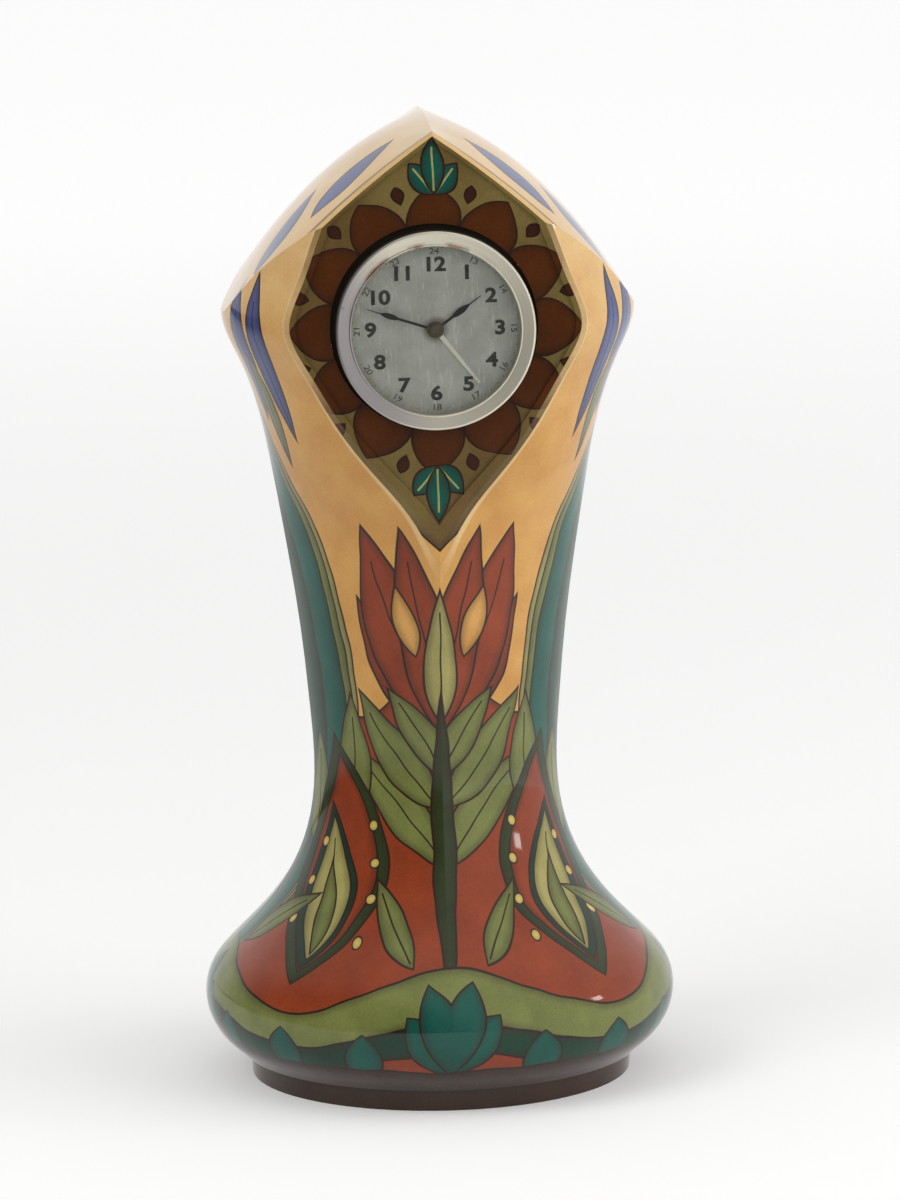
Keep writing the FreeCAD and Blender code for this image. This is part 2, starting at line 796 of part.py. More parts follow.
# Back cover with the holes for keys, knobs, stop button and regulator pin.
cover_holes = neck_holes + [
    (great, winding_arbor_radius + loose_gap),
    (alarm, winding_arbor_radius + loose_gap),
    (centre, centre_arbor_radius + loose_gap),
    (alarm_set, alarm_set_radius + loose_gap),
    (stop, stop_radius),
]
back_cover = drilled(disc(centre, drum_bore - loose_gap / 2, cover_front, cover_back), cover_holes,
                     running_gap, cover_front, cover_back).cut(regulator_slot)
save(back_cover, "back_cover")

# Centre arbor with the cannon pinion, minute hand, nut and hand-set knob, which turn as one.
hand_nut_front = minute_hand_front - hand_nut_height
knob_front = cover_back + knob_gap
knob_back = knob_front + knob_length
save(disc(centre, centre_arbor_radius, hand_nut_front, knob_back), "centre_arbor")
cannon_module = 2 * motion_distance / (cannon_teeth + minute_teeth)
hour_module = 2 * motion_distance / (minute_pinion_teeth + hour_teeth)
cannon_bore = disc(centre, centre_arbor_radius + seat_gap, bezel_front, plate_front)
cannon_pinion = gear(centre, cannon_teeth, cannon_module, pinion_tooth_shares, 0, motion_front, motion_back)
cannon_pinion = cannon_pinion.fuse(disc(centre, cannon_pipe_radius, minute_hand_front, motion_back))
save(cannon_pinion.cut(cannon_bore), "cannon_pinion")


def knob(spot, radius):
    """A fluted thumb knob on the end of an arbor."""
    flutes = []
    for number in range(knob_flutes):
        rim_spot = toward(spot, radius * (1 + knob_flute_share / 2), number * 360 / knob_flutes)
        flute = disc(rim_spot, radius * knob_flute_share, knob_front - cut_overrun, knob_back + cut_overrun)
        flutes.append(flute)
    return disc(spot, radius, knob_front, knob_back).cut(flutes)


def bored(shape, spot, radius):
    """A shape with a hole right through it for the arbor that it is fixed on."""
    return shape.cut(disc(spot, radius + seat_gap, bezel_front, 2 * case_half_depth))


save(bored(knob(centre, hand_knob_radius), centre, centre_arbor_radius), "hand_set_knob")


# Hands: stamped from thin sheet, with a hub pushed on the pipe.
def leaf_hand(length, half_shares, hub_radius, bore, front, back):
    """A hand pointing to 12: a narrow stem, a leaf and a needle. Shares are of the length."""
    stem, leaf, needle, leaf_start, leaf_peak, leaf_end = [share * length for share in half_shares]
    sides = []
    for sign in (1, -1):
        sides.append(Part.makeLine(at((sign * stem, 0), front), at((sign * stem, leaf_start), front)))
        sides.append(Part.Arc(at((sign * stem, leaf_start), front), at((sign * leaf, leaf_peak), front),
                              at((sign * needle, leaf_end), front)).toShape())
        sides.append(Part.makeLine(at((sign * needle, leaf_end), front),
                                   at((sign * needle / 2, length), front)))
    sides.append(Part.makeLine(at((-stem, 0), front), at((stem, 0), front)))
    sides.append(Part.makeLine(at((-needle / 2, length), front), at((needle / 2, length), front)))
    blade = Part.Face(Part.Wire(Part.__sortEdges__(sides))).extrude(backward * (back - front))
    hub = disc(centre, hub_radius, front, back)
    return bored(blade.fuse(hub), centre, bore)


minute_hand = leaf_hand(minute_hand_length, (0.018, 0.038, 0.008, 0.55, 0.69, 0.80),
                        cannon_pipe_radius + hand_hub_width, cannon_pipe_radius, minute_hand_front,
                        minute_hand_back)
save(turned(minute_hand, centre, minute_angle), "minute_hand")
hand_nut = disc(centre, cannon_pipe_radius + hand_hub_width / 2, hand_nut_front, minute_hand_front)
save(bored(hand_nut, centre, centre_arbor_radius), "hand_nut")

# Minute wheel and its pinion, loose together on a stud riveted in the front plate.
motion_phase = meshing_phase(centre, cannon_teeth, 0, motion, minute_teeth)
stud_front = hour_front
minute_stud = disc(motion, motion_stud_radius, stud_front, train_front)
save(minute_stud, "minute_stud")
stud_bore = motion_stud_radius + running_gap
minute_wheel = gear(motion, minute_teeth, cannon_module, wheel_tooth_shares, motion_phase, motion_front,
                    motion_back)
save(minute_wheel.cut(disc(motion, stud_bore, bezel_front, plate_front)), "minute_wheel")
minute_pinion = gear(motion, minute_pinion_teeth, hour_module, pinion_tooth_shares, motion_phase, hour_front,
                     motion_front)
save(minute_pinion.cut(disc(motion, stud_bore, bezel_front, plate_front)), "minute_pinion")

# Hour wheel on its pipe, with the hour hand.
hour_phase = meshing_phase(motion, minute_pinion_teeth, motion_phase, centre, hour_teeth)
hour_wheel = gear(centre, hour_teeth, hour_module, wheel_tooth_shares, hour_phase, hour_front, hour_back)
hour_wheel = hour_wheel.fuse(disc(centre, hour_pipe_radius, hour_hand_front, hour_front))
save(hour_wheel.cut(disc(centre, hour_pipe_bore, bezel_front, plate_front)), "hour_wheel")
hour_hand = leaf_hand(hour_hand_length, (0.023, 0.055, 0.012, 0.38, 0.56, 0.74),
                      hour_pipe_radius + hand_hub_width, hour_pipe_radius, hour_hand_front, hour_hand_back)
save(turned(hour_hand, centre, hour_angle), "hour_hand")

# Alarm wheel on its pipe with the alarm hand, and the arbor and knob that set them.
alarm_set_module = 2 * alarm_set_distance / (alarm_wheel_teeth + alarm_set_teeth)
set_phase = meshing_phase(centre, alarm_wheel_teeth, 0, alarm_set, alarm_set_teeth)
alarm_wheel = gear(
    centre, alarm_wheel_teeth, alarm_set_module, wheel_tooth_shares, 0, alarm_front, alarm_back
)
alarm_wheel = alarm_wheel.fuse(disc(centre, alarm_pipe_radius, alarm_hand_front, alarm_front))
save(alarm_wheel.cut(disc(centre, alarm_pipe_bore, bezel_front, plate_front)), "alarm_wheel")
alarm_hand = leaf_hand(alarm_hand_length, (0.019, 0.019, 0.010, 0.3, 0.5, 0.9),
                       alarm_pipe_radius + hand_hub_width, alarm_pipe_radius, alarm_hand_front,
                       alarm_hand_back)
save(turned(alarm_hand, centre, alarm_angle), "alarm_hand")
alarm_set_pinion = gear(alarm_set, alarm_set_teeth, alarm_set_module, pinion_tooth_shares, set_phase,
                        alarm_front, alarm_back)
alarm_set_arbor = disc(alarm_set, alarm_set_radius, alarm_front, knob_back).fuse(alarm_set_pinion)
save(alarm_set_arbor, "alarm_set_arbor")
save(bored(knob(alarm_set, alarm_knob_radius), alarm_set, alarm_set_radius), "alarm_set_knob")


def level(depth):
    """A depth between the plates, counted backward from the front plate."""
    return train_front + depth


# Going train from the great wheel to the escape wheel.
great_phase = 0
centre_pinion_phase = meshing_phase(great, great_teeth, great_phase, centre, centre_pinion_teeth)
centre_phase = centre_pinion_phase
third_phase = meshing_phase(centre, centre_teeth, centre_phase, third, third_pinion_teeth)
fourth_phase = meshing_phase(third, third_teeth, third_phase, fourth, fourth_pinion_teeth)
escape_phase = meshing_phase(fourth, fourth_teeth, fourth_phase, escape, escape_pinion_teeth)


def train_wheel(spot, teeth, module, phase, depth, hub_radius, bore):
    """A brass wheel with five spokes."""
    front = level(depth)
    back = front + wheel_thickness
    blank = gear(spot, teeth, module, wheel_tooth_shares, phase, front, back)
    rim_radius = teeth * module / 2 - 3 * module
    wheel = crossed_out(blank, spot, rim_radius, hub_radius, 5, module, front, back)
    return wheel.cut(disc(spot, bore, front - cut_overrun, back + cut_overrun))


def pinion_arbor(spot, teeth, module, phase, wheel_depth):
    """A steel arbor with its leaves cut around the level of the wheel that drives it."""
    front = level(wheel_depth) - (pinion_length - wheel_thickness) / 2
    leaves = gear(spot, teeth, module, pinion_tooth_shares, phase, front, front + pinion_length)
    return arbor(spot, train_arbor_radius, pivot_radius).fuse(leaves)


great_front = level(great_depth)
great_back = great_front + wheel_thickness
great_wheel = gear(
    great, great_teeth, great_module, wheel_tooth_shares, great_phase, great_front, great_back
)
great_bore = disc(great, winding_arbor_radius + running_gap, bezel_front, great_back)
save(great_wheel.cut(great_bore), "great_wheel")

sleeve_radius = centre_pinion_teeth * great_module / 2 - great_module
sleeve_bore = centre_arbor_radius + running_gap
pinion_front = great_front - (pinion_length - wheel_thickness) / 2
centre_pinion = gear(centre, centre_pinion_teeth, great_module, pinion_tooth_shares, centre_pinion_phase,
                     pinion_front, pinion_front + pinion_length)
sleeve = disc(centre, sleeve_radius, train_front + arbor_endshake, train_back - arbor_endshake)
centre_pinion = centre_pinion.fuse(sleeve).cut(disc(centre, sleeve_bore, plate_front, plate_back))
save(centre_pinion, "centre_pinion")
centre_wheel = train_wheel(centre, centre_teeth, centre_module, centre_phase, centre_depth,
                           sleeve_radius + 2 * centre_module, sleeve_radius + seat_gap)
save(centre_wheel, "centre_wheel")

third_pinion = pinion_arbor(third, third_pinion_teeth, centre_module, third_phase, centre_depth)
save(third_pinion, "third_pinion")
fourth_pinion = pinion_arbor(fourth, fourth_pinion_teeth, third_module, fourth_phase, third_depth)
save(fourth_pinion, "fourth_pinion")
escape_pinion = pinion_arbor(escape, escape_pinion_teeth, fourth_module, escape_phase, fourth_depth)
save(escape_pinion, "escape_pinion")
wheel_bore = train_arbor_radius + seat_gap
wheel_hub = train_arbor_radius * 3
save(train_wheel(third, third_teeth, third_module, third_phase, third_depth, wheel_hub, wheel_bore),
     "third_wheel")
save(train_wheel(fourth, fourth_teeth, fourth_module, fourth_phase, fourth_depth, wheel_hub, wheel_bore),
     "fourth_wheel")
escape_front = level(escape_depth)
escape_back = escape_front + wheel_thickness
escape_wheel = saw_wheel(escape, escape_radius, escape_tooth_length, escape_teeth, escape_front, escape_back)
escape_wheel = crossed_out(escape_wheel, escape, escape_radius - 2 * escape_tooth_length, wheel_hub * 0.8, 4,
                           fourth_module, escape_front, escape_back)
save(escape_wheel.cut(disc(escape, wheel_bore, escape_front, escape_back)), "escape_wheel")

# Pallet lever: two upright steel pins that catch the escape wheel, and a fork that meets the balance.
lever_front = level(lever_depth)
lever_back = lever_front + lever_thickness
pin_ring = escape_radius + pallet_pin_radius + pallet_pin_clearance
pallet_spots = [toward(escape, pin_ring, lever_side + sign * pallet_half_span) for sign in (1, -1)]
fork_reach = balance_distance - impulse_pin_reach - impulse_pin_radius - fork_clearance
fork_tip = toward(lever, fork_reach, balance_side)
fork_root = toward(lever, fork_reach - 2 * fork_slot_depth, balance_side)
lever_pieces = [bar(lever, spot, lever_half_width, lever_front, lever_back) for spot in pallet_spots]
for spot in pallet_spots:
    lever_pieces.append(disc(spot, pallet_pin_radius, escape_front - loose_gap, lever_front))
across = math.radians(balance_side + 90)


def beside(spot, offset):
    """A spot moved sideways from the lever's line to the balance."""
    return (spot[0] + offset * math.cos(across), spot[1] + offset * math.sin(across))


fork_slot_root = toward(lever, fork_reach - fork_slot_depth, balance_side)
fork = slab(
    [
        beside(lever, lever_half_width),
        beside(fork_root, lever_half_width),
        beside(fork_root, fork_half_width),
        beside(fork_tip, fork_half_width),
        beside(fork_tip, fork_slot_half_width),
        beside(fork_slot_root, fork_slot_half_width),
        beside(fork_slot_root, -fork_slot_half_width),
        beside(fork_tip, -fork_slot_half_width),
        beside(fork_tip, -fork_half_width),
        beside(fork_root, -fork_half_width),
        beside(fork_root, -lever_half_width),
        beside(lever, -lever_half_width),
    ],
    lever_front,
    lever_back,
)
pallet_lever = arbor(lever, train_arbor_radius, pivot_radius).fuse(lever_pieces + [fork])
save(pallet_lever, "pallet_lever")

# Balance: a rimmed wheel with two arms on a staff that carries the roller and its impulse pin.
balance_front = level(balance_depth)
balance_back = balance_front + balance_thickness
balance_wheel = crossed_out(disc(balance, balance_radius, balance_front, balance_back), balance,
                            balance_radius - balance_rim, roller_radius, 2, balance_rim / 2, balance_front,
                            balance_back)
save(balance_wheel.cut(disc(balance, wheel_bore, balance_front, balance_back)), "balance_wheel")
roller_back = balance_front - running_gap
roller = disc(balance, roller_radius, roller_back - roller_thickness, roller_back)
pin_spot = toward(balance, impulse_pin_reach, balance_side + 180)
impulse_pin = disc(pin_spot, impulse_pin_radius, lever_front, roller_back - roller_thickness)
balance_staff = arbor(balance, train_arbor_radius, pivot_radius).fuse([roller, impulse_pin])
save(balance_staff, "balance_staff")

# Hairspring: a flat spiral pinned to a stud that hangs from the back plate.
hairspring_front = level(hairspring_depth)
hairspring_back = hairspring_front + hairspring_width
hairspring = spiral_strip(balance, hairspring_inner_radius, hairspring_pitch, hairspring_strip,
                          hairspring_turns, hairspring_front, hairspring_back)
save(hairspring, "hairspring")
spring_box = hairspring.BoundBox
stud_radius = hairspring_pitch * 0.8
stud_spot = (spring_box.XMax + stud_radius + seat_gap, balance[1])
hairspring_stud = disc(stud_spot, stud_radius, hairspring_front, train_back)
save(hairspring_stud, "hairspring_stud")

# Regulator: an index lever that turns on a boss around the balance's rear pivot.
regulator_front = level(regulator_depth)
regulator_back = regulator_front + regulator_thickness
boss_bore = train_arbor_radius + loose_gap
boss = ring(balance, regulator_boss_radius, boss_bore, regulator_front, train_back)
save(back_plate.fuse(boss), "back_plate")
regulator_tip = toward(balance, regulator_reach, regulator_side)
regulator = bar(balance, regulator_tip, regulator_half_width, regulator_front, regulator_back)
collar_radius = regulator_boss_radius + running_gap + regulator_half_width
regulator = regulator.fuse(disc(balance, collar_radius, regulator_front, regulator_back))
regulator = regulator.cut(disc(balance, regulator_boss_radius + running_gap, plate_front, plate_back))
pin_end = cover_back + knob_gap
regulator = regulator.fuse(disc(regulator_tip, regulator_pin_radius, regulator_back, pin_end))
save(regulator, "regulator")


# Winding work, one for the going side and one for the alarm.
def winding_arbor(spot):
    """An arbor from the front plate to its key, with the hub that the mainspring is wound on."""
    pivot = disc(spot, pivot_radius, plate_front, train_front + arbor_endshake)
    key_end = cover_back + key_gap + key_hub_length
    hub_front = level(mainspring_depth)
    hub = disc(spot, mainspring_inner_radius - running_gap, hub_front, hub_front + mainspring_width)
    return disc(spot, winding_arbor_radius, train_front + arbor_endshake, key_end).fuse([pivot, hub])


def ratchet(spot):
    front = level(ratchet_depth)
    back = front + ratchet_thickness
    wheel = saw_wheel(spot, ratchet_radius, ratchet_radius / 4, ratchet_teeth, front, back)
    return bored(wheel, spot, winding_arbor_radius)


def click(spot, wheel_back):
    """A pawl on a stud of the great wheel, its nose just clear of the ratchet."""
    front = level(ratchet_depth)
    pivot = toward(spot, click_pivot_reach, 90)
    nose = toward(spot, ratchet_radius + click_clearance + click_half_width, 90)
    pawl = bar(pivot, nose, click_half_width, front, front + ratchet_thickness)
    return pawl.fuse(disc(pivot, click_pivot_radius, wheel_back, front))


def winding_key(spot, turn):
    """A key with a flat wing, rounded at its ends and pierced by two holes."""
    front = cover_back + key_gap
    hub_back = front + key_hub_length
    hub = disc(spot, key_hub_radius, front, hub_back)
    wing_front = front + key_hub_length / 2
    corner = key_wing_depth / 2
    middle = FreeCAD.Vector(spot[0], wing_front + corner, dial_height + spot[1] - key_wing_thickness / 2)
    straight = key_wing_reach - corner
    box = Part.makeBox(2 * straight, key_wing_depth, key_wing_thickness,
                       middle - FreeCAD.Vector(straight, corner, 0))
    ends = []
    holes = []
    for sign in (1, -1):
        end = middle + FreeCAD.Vector(sign * straight, 0, 0)
        ends.append(Part.makeCylinder(corner, key_wing_thickness, end))
        holes.append(Part.makeCylinder(key_wing_hole_radius, key_wing_thickness, end))
    wing = box.fuse(ends).cut(holes)
    bore = disc(spot, winding_arbor_radius + seat_gap, front, hub_back)
    return turned(hub.fuse(wing).cut(bore), spot, turn)


save(winding_arbor(great), "time_winding_arbor")
save(ratchet(great), "time_ratchet")
save(click(great, great_back), "time_click")
save(winding_key(great, time_key_turn), "time_winding_key")
save(winding_arbor(alarm), "alarm_winding_arbor")
save(ratchet(alarm), "alarm_ratchet")
save(click(alarm, great_back), "alarm_click")
save(winding_key(alarm, alarm_key_turn), "alarm_winding_key")

spring_front = level(mainspring_depth)
spring_back = spring_front + mainspring_width
mainsprings = (("time_mainspring", great, mainspring_turns), ("alarm_mainspring", alarm, alarm_spring_turns))
for name, spot, turns in mainsprings:
    spring = spiral_strip(spot, mainspring_inner_radius, mainspring_pitch, mainspring_strip, turns,
                          spring_front, spring_back)
    save(spring, name)

# Alarm train: great wheel, alarm escape wheel with its pinion, hammer and bell.
alarm_great_wheel = gear(
    alarm, alarm_great_teeth, alarm_module, wheel_tooth_shares, 0, great_front, great_back
)
save(alarm_great_wheel.cut(disc(alarm, winding_arbor_radius + running_gap, bezel_front, great_back)),
     "alarm_great_wheel")
alarm_pinion_phase = meshing_phase(alarm, alarm_great_teeth, 0, alarm_escape, alarm_pinion_teeth)
alarm_pinion = pinion_arbor(alarm_escape, alarm_pinion_teeth, alarm_module, alarm_pinion_phase, great_depth)
alarm_escape_front = level(alarm_escape_depth)
alarm_saw = saw_wheel(alarm_escape, alarm_escape_radius, escape_tooth_length, alarm_escape_teeth,
                      alarm_escape_front, alarm_escape_front + wheel_thickness)
save(alarm_pinion.fuse(alarm_saw), "alarm_escape_wheel")

bell_front = plate_back + bell_gap
bell_back = bell_front + bell_depth
bell_cup = disc(bell, bell_radius, bell_front, bell_back)
bell_cup = bell_cup.cut(disc(bell, bell_radius - bell_wall, bell_front, bell_back - bell_wall))
bell_cup = bell_cup.cut(disc(bell, bell_post_radius / 2 + seat_gap, bell_front, bell_back))
save(bell_cup, "bell")
bell_post = disc(bell, bell_post_radius, plate_back, bell_back - bell_wall)
bell_post = bell_post.fuse(disc(bell, bell_post_radius / 2, train_back, bell_back))
bell_post = bell_post.fuse(disc(bell, bell_post_radius, bell_back, bell_back + bell_screw_height))
save(bell_post, "bell_post")

hammer_arm_front = plate_back + hammer_arm_depth
hammer_head_front = hammer_arm_front - (hammer_head_length - wheel_thickness) / 2
head_spot = toward(bell, hammer_head_reach, hammer_head_side)
pin_reach = alarm_escape_radius + pallet_pin_radius + pallet_pin_clearance
hammer_pins = [toward(alarm_escape, pin_reach, hammer_side + sign * pallet_half_span) for sign in (1, -1)]
hammer_plate_front = alarm_escape_front + wheel_thickness + loose_gap
hammer_pieces = [
    bar(hammer, spot, lever_half_width, hammer_plate_front, hammer_plate_front + lever_thickness)
    for spot in hammer_pins
]
hammer_pieces += [
    disc(spot, pallet_pin_radius, alarm_escape_front, hammer_plate_front) for spot in hammer_pins
]
hammer_pieces.append(disc(hammer, pivot_radius, plate_back, hammer_arm_front + wheel_thickness))
hammer_pieces.append(bar(hammer, head_spot, lever_half_width, hammer_arm_front,
                         hammer_arm_front + wheel_thickness))
hammer_pieces.append(disc(head_spot, hammer_head_radius, hammer_head_front,
                          hammer_head_front + hammer_head_length))
save(arbor(hammer, train_arbor_radius, pivot_radius).fuse(hammer_pieces), "hammer")

# Alarm stop: a push button on a rod through the cover.
button_front = cover_back + stop_travel + loose_gap
stop_rod = disc(stop, stop_radius, cover_front - stop_length_inside, button_front)
button = disc(stop, stop_button_radius, button_front, button_front + stop_button_thickness)
save(stop_rod.fuse(button), "alarm_stop_button")

for name, spot in (
    ("centre", centre), ("great", great), ("third", third), ("fourth", fourth), ("escape", escape),
    ("lever", lever), ("balance", balance), ("motion", motion), ("alarm_set", alarm_set), ("alarm", alarm),
    ("alarm_escape", alarm_escape), ("hammer", hammer), ("stop", stop),
):
    print(name, round(spot[0], 4), round(dial_height + spot[1], 4), round(math.hypot(*spot), 2))
print("balance to centre", round(apart(balance, centre), 2))
print("balance to set arbor", round(apart(balance, alarm_set), 2))
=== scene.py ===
import math
import bpy
from mathutils import Matrix, Vector


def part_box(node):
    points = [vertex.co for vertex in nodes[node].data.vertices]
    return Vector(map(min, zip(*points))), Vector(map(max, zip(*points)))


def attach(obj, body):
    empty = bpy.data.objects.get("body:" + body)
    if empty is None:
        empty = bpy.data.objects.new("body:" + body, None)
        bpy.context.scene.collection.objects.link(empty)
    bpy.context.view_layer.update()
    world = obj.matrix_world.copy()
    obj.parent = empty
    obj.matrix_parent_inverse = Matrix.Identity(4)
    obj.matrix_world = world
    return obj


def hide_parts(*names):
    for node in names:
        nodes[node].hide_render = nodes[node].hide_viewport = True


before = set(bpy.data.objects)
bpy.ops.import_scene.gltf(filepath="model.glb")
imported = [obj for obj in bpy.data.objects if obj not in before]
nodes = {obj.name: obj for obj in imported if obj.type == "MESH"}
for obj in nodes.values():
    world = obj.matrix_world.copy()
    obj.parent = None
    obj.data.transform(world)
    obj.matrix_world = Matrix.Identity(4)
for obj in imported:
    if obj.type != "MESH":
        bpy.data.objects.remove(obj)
scene = bpy.context.scene
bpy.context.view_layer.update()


# Camera: a long lens, a little to the left of the clock's middle and above its dial, that looks slightly
# down. Its roll gives the clock the slight lean that it has in the picture.
camera_azimuth = math.radians(-3.2)
camera_elevation = math.radians(9.73)
camera_distance = 2.5
camera_roll = math.radians(-1.01)
camera_target = Vector((0.0069, 0, 0.1905))
camera_back = Vector((
    math.sin(camera_azimuth) * math.cos(camera_elevation),
    -math.cos(camera_azimuth) * math.cos(camera_elevation),
    math.sin(camera_elevation),
))
camera = bpy.data.objects.new("camera", bpy.data.cameras.new("camera"))
scene.collection.objects.link(camera)
camera.data.lens = 187.5
camera.data.sensor_width = 36
camera_turn = camera_back.to_track_quat("Z", "Y").to_matrix().to_4x4()
camera.matrix_world = (
    Matrix.Translation(camera_target + camera_back * camera_distance)
    @ camera_turn
    @ Matrix.Rotation(camera_roll, 4, "Z")
)
scene.camera = camera


# Studio light: a soft box on each side and a small window on the right, in a white room. One end of the room,
# in front on the left, is unlit, and the glaze and the metal mirror it. The camera sees white all round.
light_target = Vector((0, 0, 0.2))


def soft_box(name, place, width, height, power):
    """A soft light that looks at the middle of the clock."""
    light = bpy.data.lights.new(name, "AREA")
    light.shape = "RECTANGLE"
    light.size = width
    light.size_y = height
    light.energy = power
    box = bpy.data.objects.new(name, light)
    scene.collection.objects.link(box)
    box.location = place
    box.rotation_euler = (Vector(place) - light_target).to_track_quat("Z", "Y").to_euler()
    return box


left_box = soft_box("left_soft_box", place=(-1.3, -0.9, 1.5), width=1.2, height=0.8, power=12)
right_box = soft_box("right_soft_box", place=(1.75, -0.55, 0.8), width=2.2, height=1.6, power=20)
soft_box("window", place=(1.9, -0.25, 0.75), width=0.16, height=0.22, power=1.2)
# Of the three, only the window is mirrored.
left_box.visible_glossy = False
right_box.visible_glossy = False


def wire(tree, value, socket):
    """Feed a socket with another socket's output or with a plain value."""
    if isinstance(value, bpy.types.NodeSocket):
        tree.links.new(value, socket)
    else:
        socket.default_value = value


def calc(tree, operation, *values):
    """A sum on numbers, each an output or a plain value."""
    node = tree.nodes.new("ShaderNodeMath")
    node.operation = operation
    for socket, value in zip(node.inputs, values):
        wire(tree, value, socket)
    return node.outputs[0]


def between(tree, share, least, most):
    """A number that rises from the least to the most with a share."""
    return calc(tree, "MULTIPLY_ADD", share, most - least, least)


def vector_calc(tree, operation, *values):
    """A sum on vectors, which gives a Vector or a Value."""
    node = tree.nodes.new("ShaderNodeVectorMath")
    node.operation = operation
    for socket, value in zip(node.inputs, values):
        wire(tree, value, socket)
    return node.outputs


def soft_step(tree, value, start, end, full=1.0):
    """0 before the start, the full share past the end, smooth between them."""
    node = tree.nodes.new("ShaderNodeMapRange")
    node.interpolation_type = "SMOOTHSTEP"
    wire(tree, value, node.inputs["Value"])
    wire(tree, start, node.inputs["From Min"])
    wire(tree, end, node.inputs["From Max"])
    node.inputs["To Max"].default_value = full
    return node.outputs["Result"]


def colour_mix(tree, share, first, second, blend="MIX"):
    """The first colour, with a share of the second over it."""
    node = tree.nodes.new("ShaderNodeMix")
    node.data_type = "RGBA"
    node.blend_type = blend
    wire(tree, share, node.inputs["Factor"])
    wire(tree, first, node.inputs[6])
    wire(tree, second, node.inputs[7])
    return node.outputs[2]


def object_place(tree):
    """A point's place on its object, or in the world's tree a direction."""
    return tree.nodes.new("ShaderNodeTexCoord").outputs["Object"]


def new_group(name, inputs, outputs):
    """An empty shader group with named inputs and outputs, each given as a name and a socket kind."""
    group = bpy.data.node_groups.new(name, "ShaderNodeTree")
    for label, kind in inputs:
        group.interface.new_socket(label, in_out="INPUT", socket_type="NodeSocket" + kind)
    for label, kind in outputs:
        group.interface.new_socket(label, in_out="OUTPUT", socket_type="NodeSocket" + kind)
    entry = group.nodes.new("NodeGroupInput")
    leaving = group.nodes.new("NodeGroupOutput")
    return group, entry.outputs, leaving.inputs


def use_group(tree, group, values):
    """Place a shader group in a tree, fed by the name of each input."""
    node = tree.nodes.new("ShaderNodeGroup")
    node.node_tree = group
    for label, value in values.items():
        wire(tree, value, node.inputs[label])
    return node.outputs


# The unlit share at a place, or in a direction seen from the clock. What is shown to the camera has none.
unlit_end, given, result = new_group(
    "unlit end",
    (("Place", "Vector"), ("Near", "Float"), ("Far", "Float"), ("Shown", "Float")),
    (("Share", "Float"),),
)
unlit_direction = (-0.85, -0.5, 0.0)
toward = vector_calc(unlit_end, "DOT_PRODUCT", given["Place"], unlit_direction)["Value"]
darkening = soft_step(unlit_end, toward, given["Near"], given["Far"])
unseen = calc(unlit_end, "MAXIMUM", calc(unlit_end, "SUBTRACT", darkening, given["Shown"]), 0.0)
unlit_end.links.new(unseen, result["Share"])


def graded(tree, near, far, lit, unlit):
    """The lit colour, changing to the unlit one between two distances, but not where the camera sees it."""
    shown = tree.nodes.new("ShaderNodeLightPath").outputs["Is Camera Ray"]
    place = object_place(tree)
    grading = use_group(tree, unlit_end, {"Place": place, "Near": near, "Far": far, "Shown": shown})
    return colour_mix(tree, grading["Share"], lit, unlit)


def seen_directly(tree):
    """1 for rays from the camera, and for those that a glossy or clear surface sends on."""
    rays = tree.nodes.new("ShaderNodeLightPath").outputs
    sent_on = calc(tree, "MAXIMUM", rays["Is Glossy Ray"], rays["Is Transmission Ray"])
    return calc(tree, "MAXIMUM", rays["Is Camera Ray"], sent_on)


wall_white = (0.96, 0.96, 0.955, 1)
unlit_grey = (0.2, 0.2, 0.2, 1)
white_room = bpy.data.worlds.new("white_room")
scene.world = white_room
white_room.use_nodes = True
tree = white_room.node_tree
ambient = tree.nodes["Background"]
ambient.inputs["Color"].default_value = (1, 1, 1, 1)
ambient.inputs["Strength"].default_value = 0.6
walls = tree.nodes.new("ShaderNodeBackground")
tree.links.new(graded(tree, near=0.05, far=0.75, lit=wall_white, unlit=unlit_grey), walls.inputs["Color"])
chosen = tree.nodes.new("ShaderNodeMixShader")
tree.links.new(seen_directly(tree), chosen.inputs[0])
tree.links.new(ambient.outputs[0], chosen.inputs[1])
tree.links.new(walls.outputs[0], chosen.inputs[2])
tree.links.new(chosen.outputs[0], tree.nodes["World Output"].inputs["Surface"])
scene.view_settings.view_transform = "Standard"


# Floor: a wide round sheet of white paper that takes the clock's soft shadow. Farther out the paper glows
# more, so that it fades into the room behind.
def new_finish(name):
    """A new material, with its tree and its one Principled shader."""
    material = bpy.data.materials.new(name)
    material.use_nodes = True
    return material, material.node_tree, material.node_tree.nodes["Principled BSDF"]


floor_radius = 30
paper_white = (0.86, 0.86, 0.855, 1)
unlit_from = 0.25
unlit_by = 0.95
near_glow = 0.2
far_glow = 0.44
glow_white = (1, 1, 1, 1)
no_glow = (0, 0, 0, 1)
glow_rises_from = 0.2
glow_rises_to = 3.5
bpy.ops.object.select_all(action="DESELECT")
bpy.ops.mesh.primitive_circle_add(vertices=96, radius=floor_radius, fill_type="NGON")
floor = bpy.context.object
floor.name = "paper_floor"
paper, tree, shader = new_finish("white_paper")
tree.links.new(graded(tree, unlit_from, unlit_by, paper_white, unlit_grey), shader.inputs["Base Color"])
tree.links.new(graded(tree, unlit_from, unlit_by, glow_white, no_glow), shader.inputs["Emission Color"])
shader.inputs["Roughness"].default_value = 0.9
shader.inputs["Specular IOR Level"].default_value = 0.1
from_clock = vector_calc(tree, "LENGTH", object_place(tree))["Value"]
risen = soft_step(tree, from_clock, glow_rises_from, glow_rises_to)
glow = between(tree, risen, near_glow, far_glow)
tree.links.new(calc(tree, "MULTIPLY", seen_directly(tree), glow), shader.inputs["Emission Strength"])
floor.data.materials.append(paper)


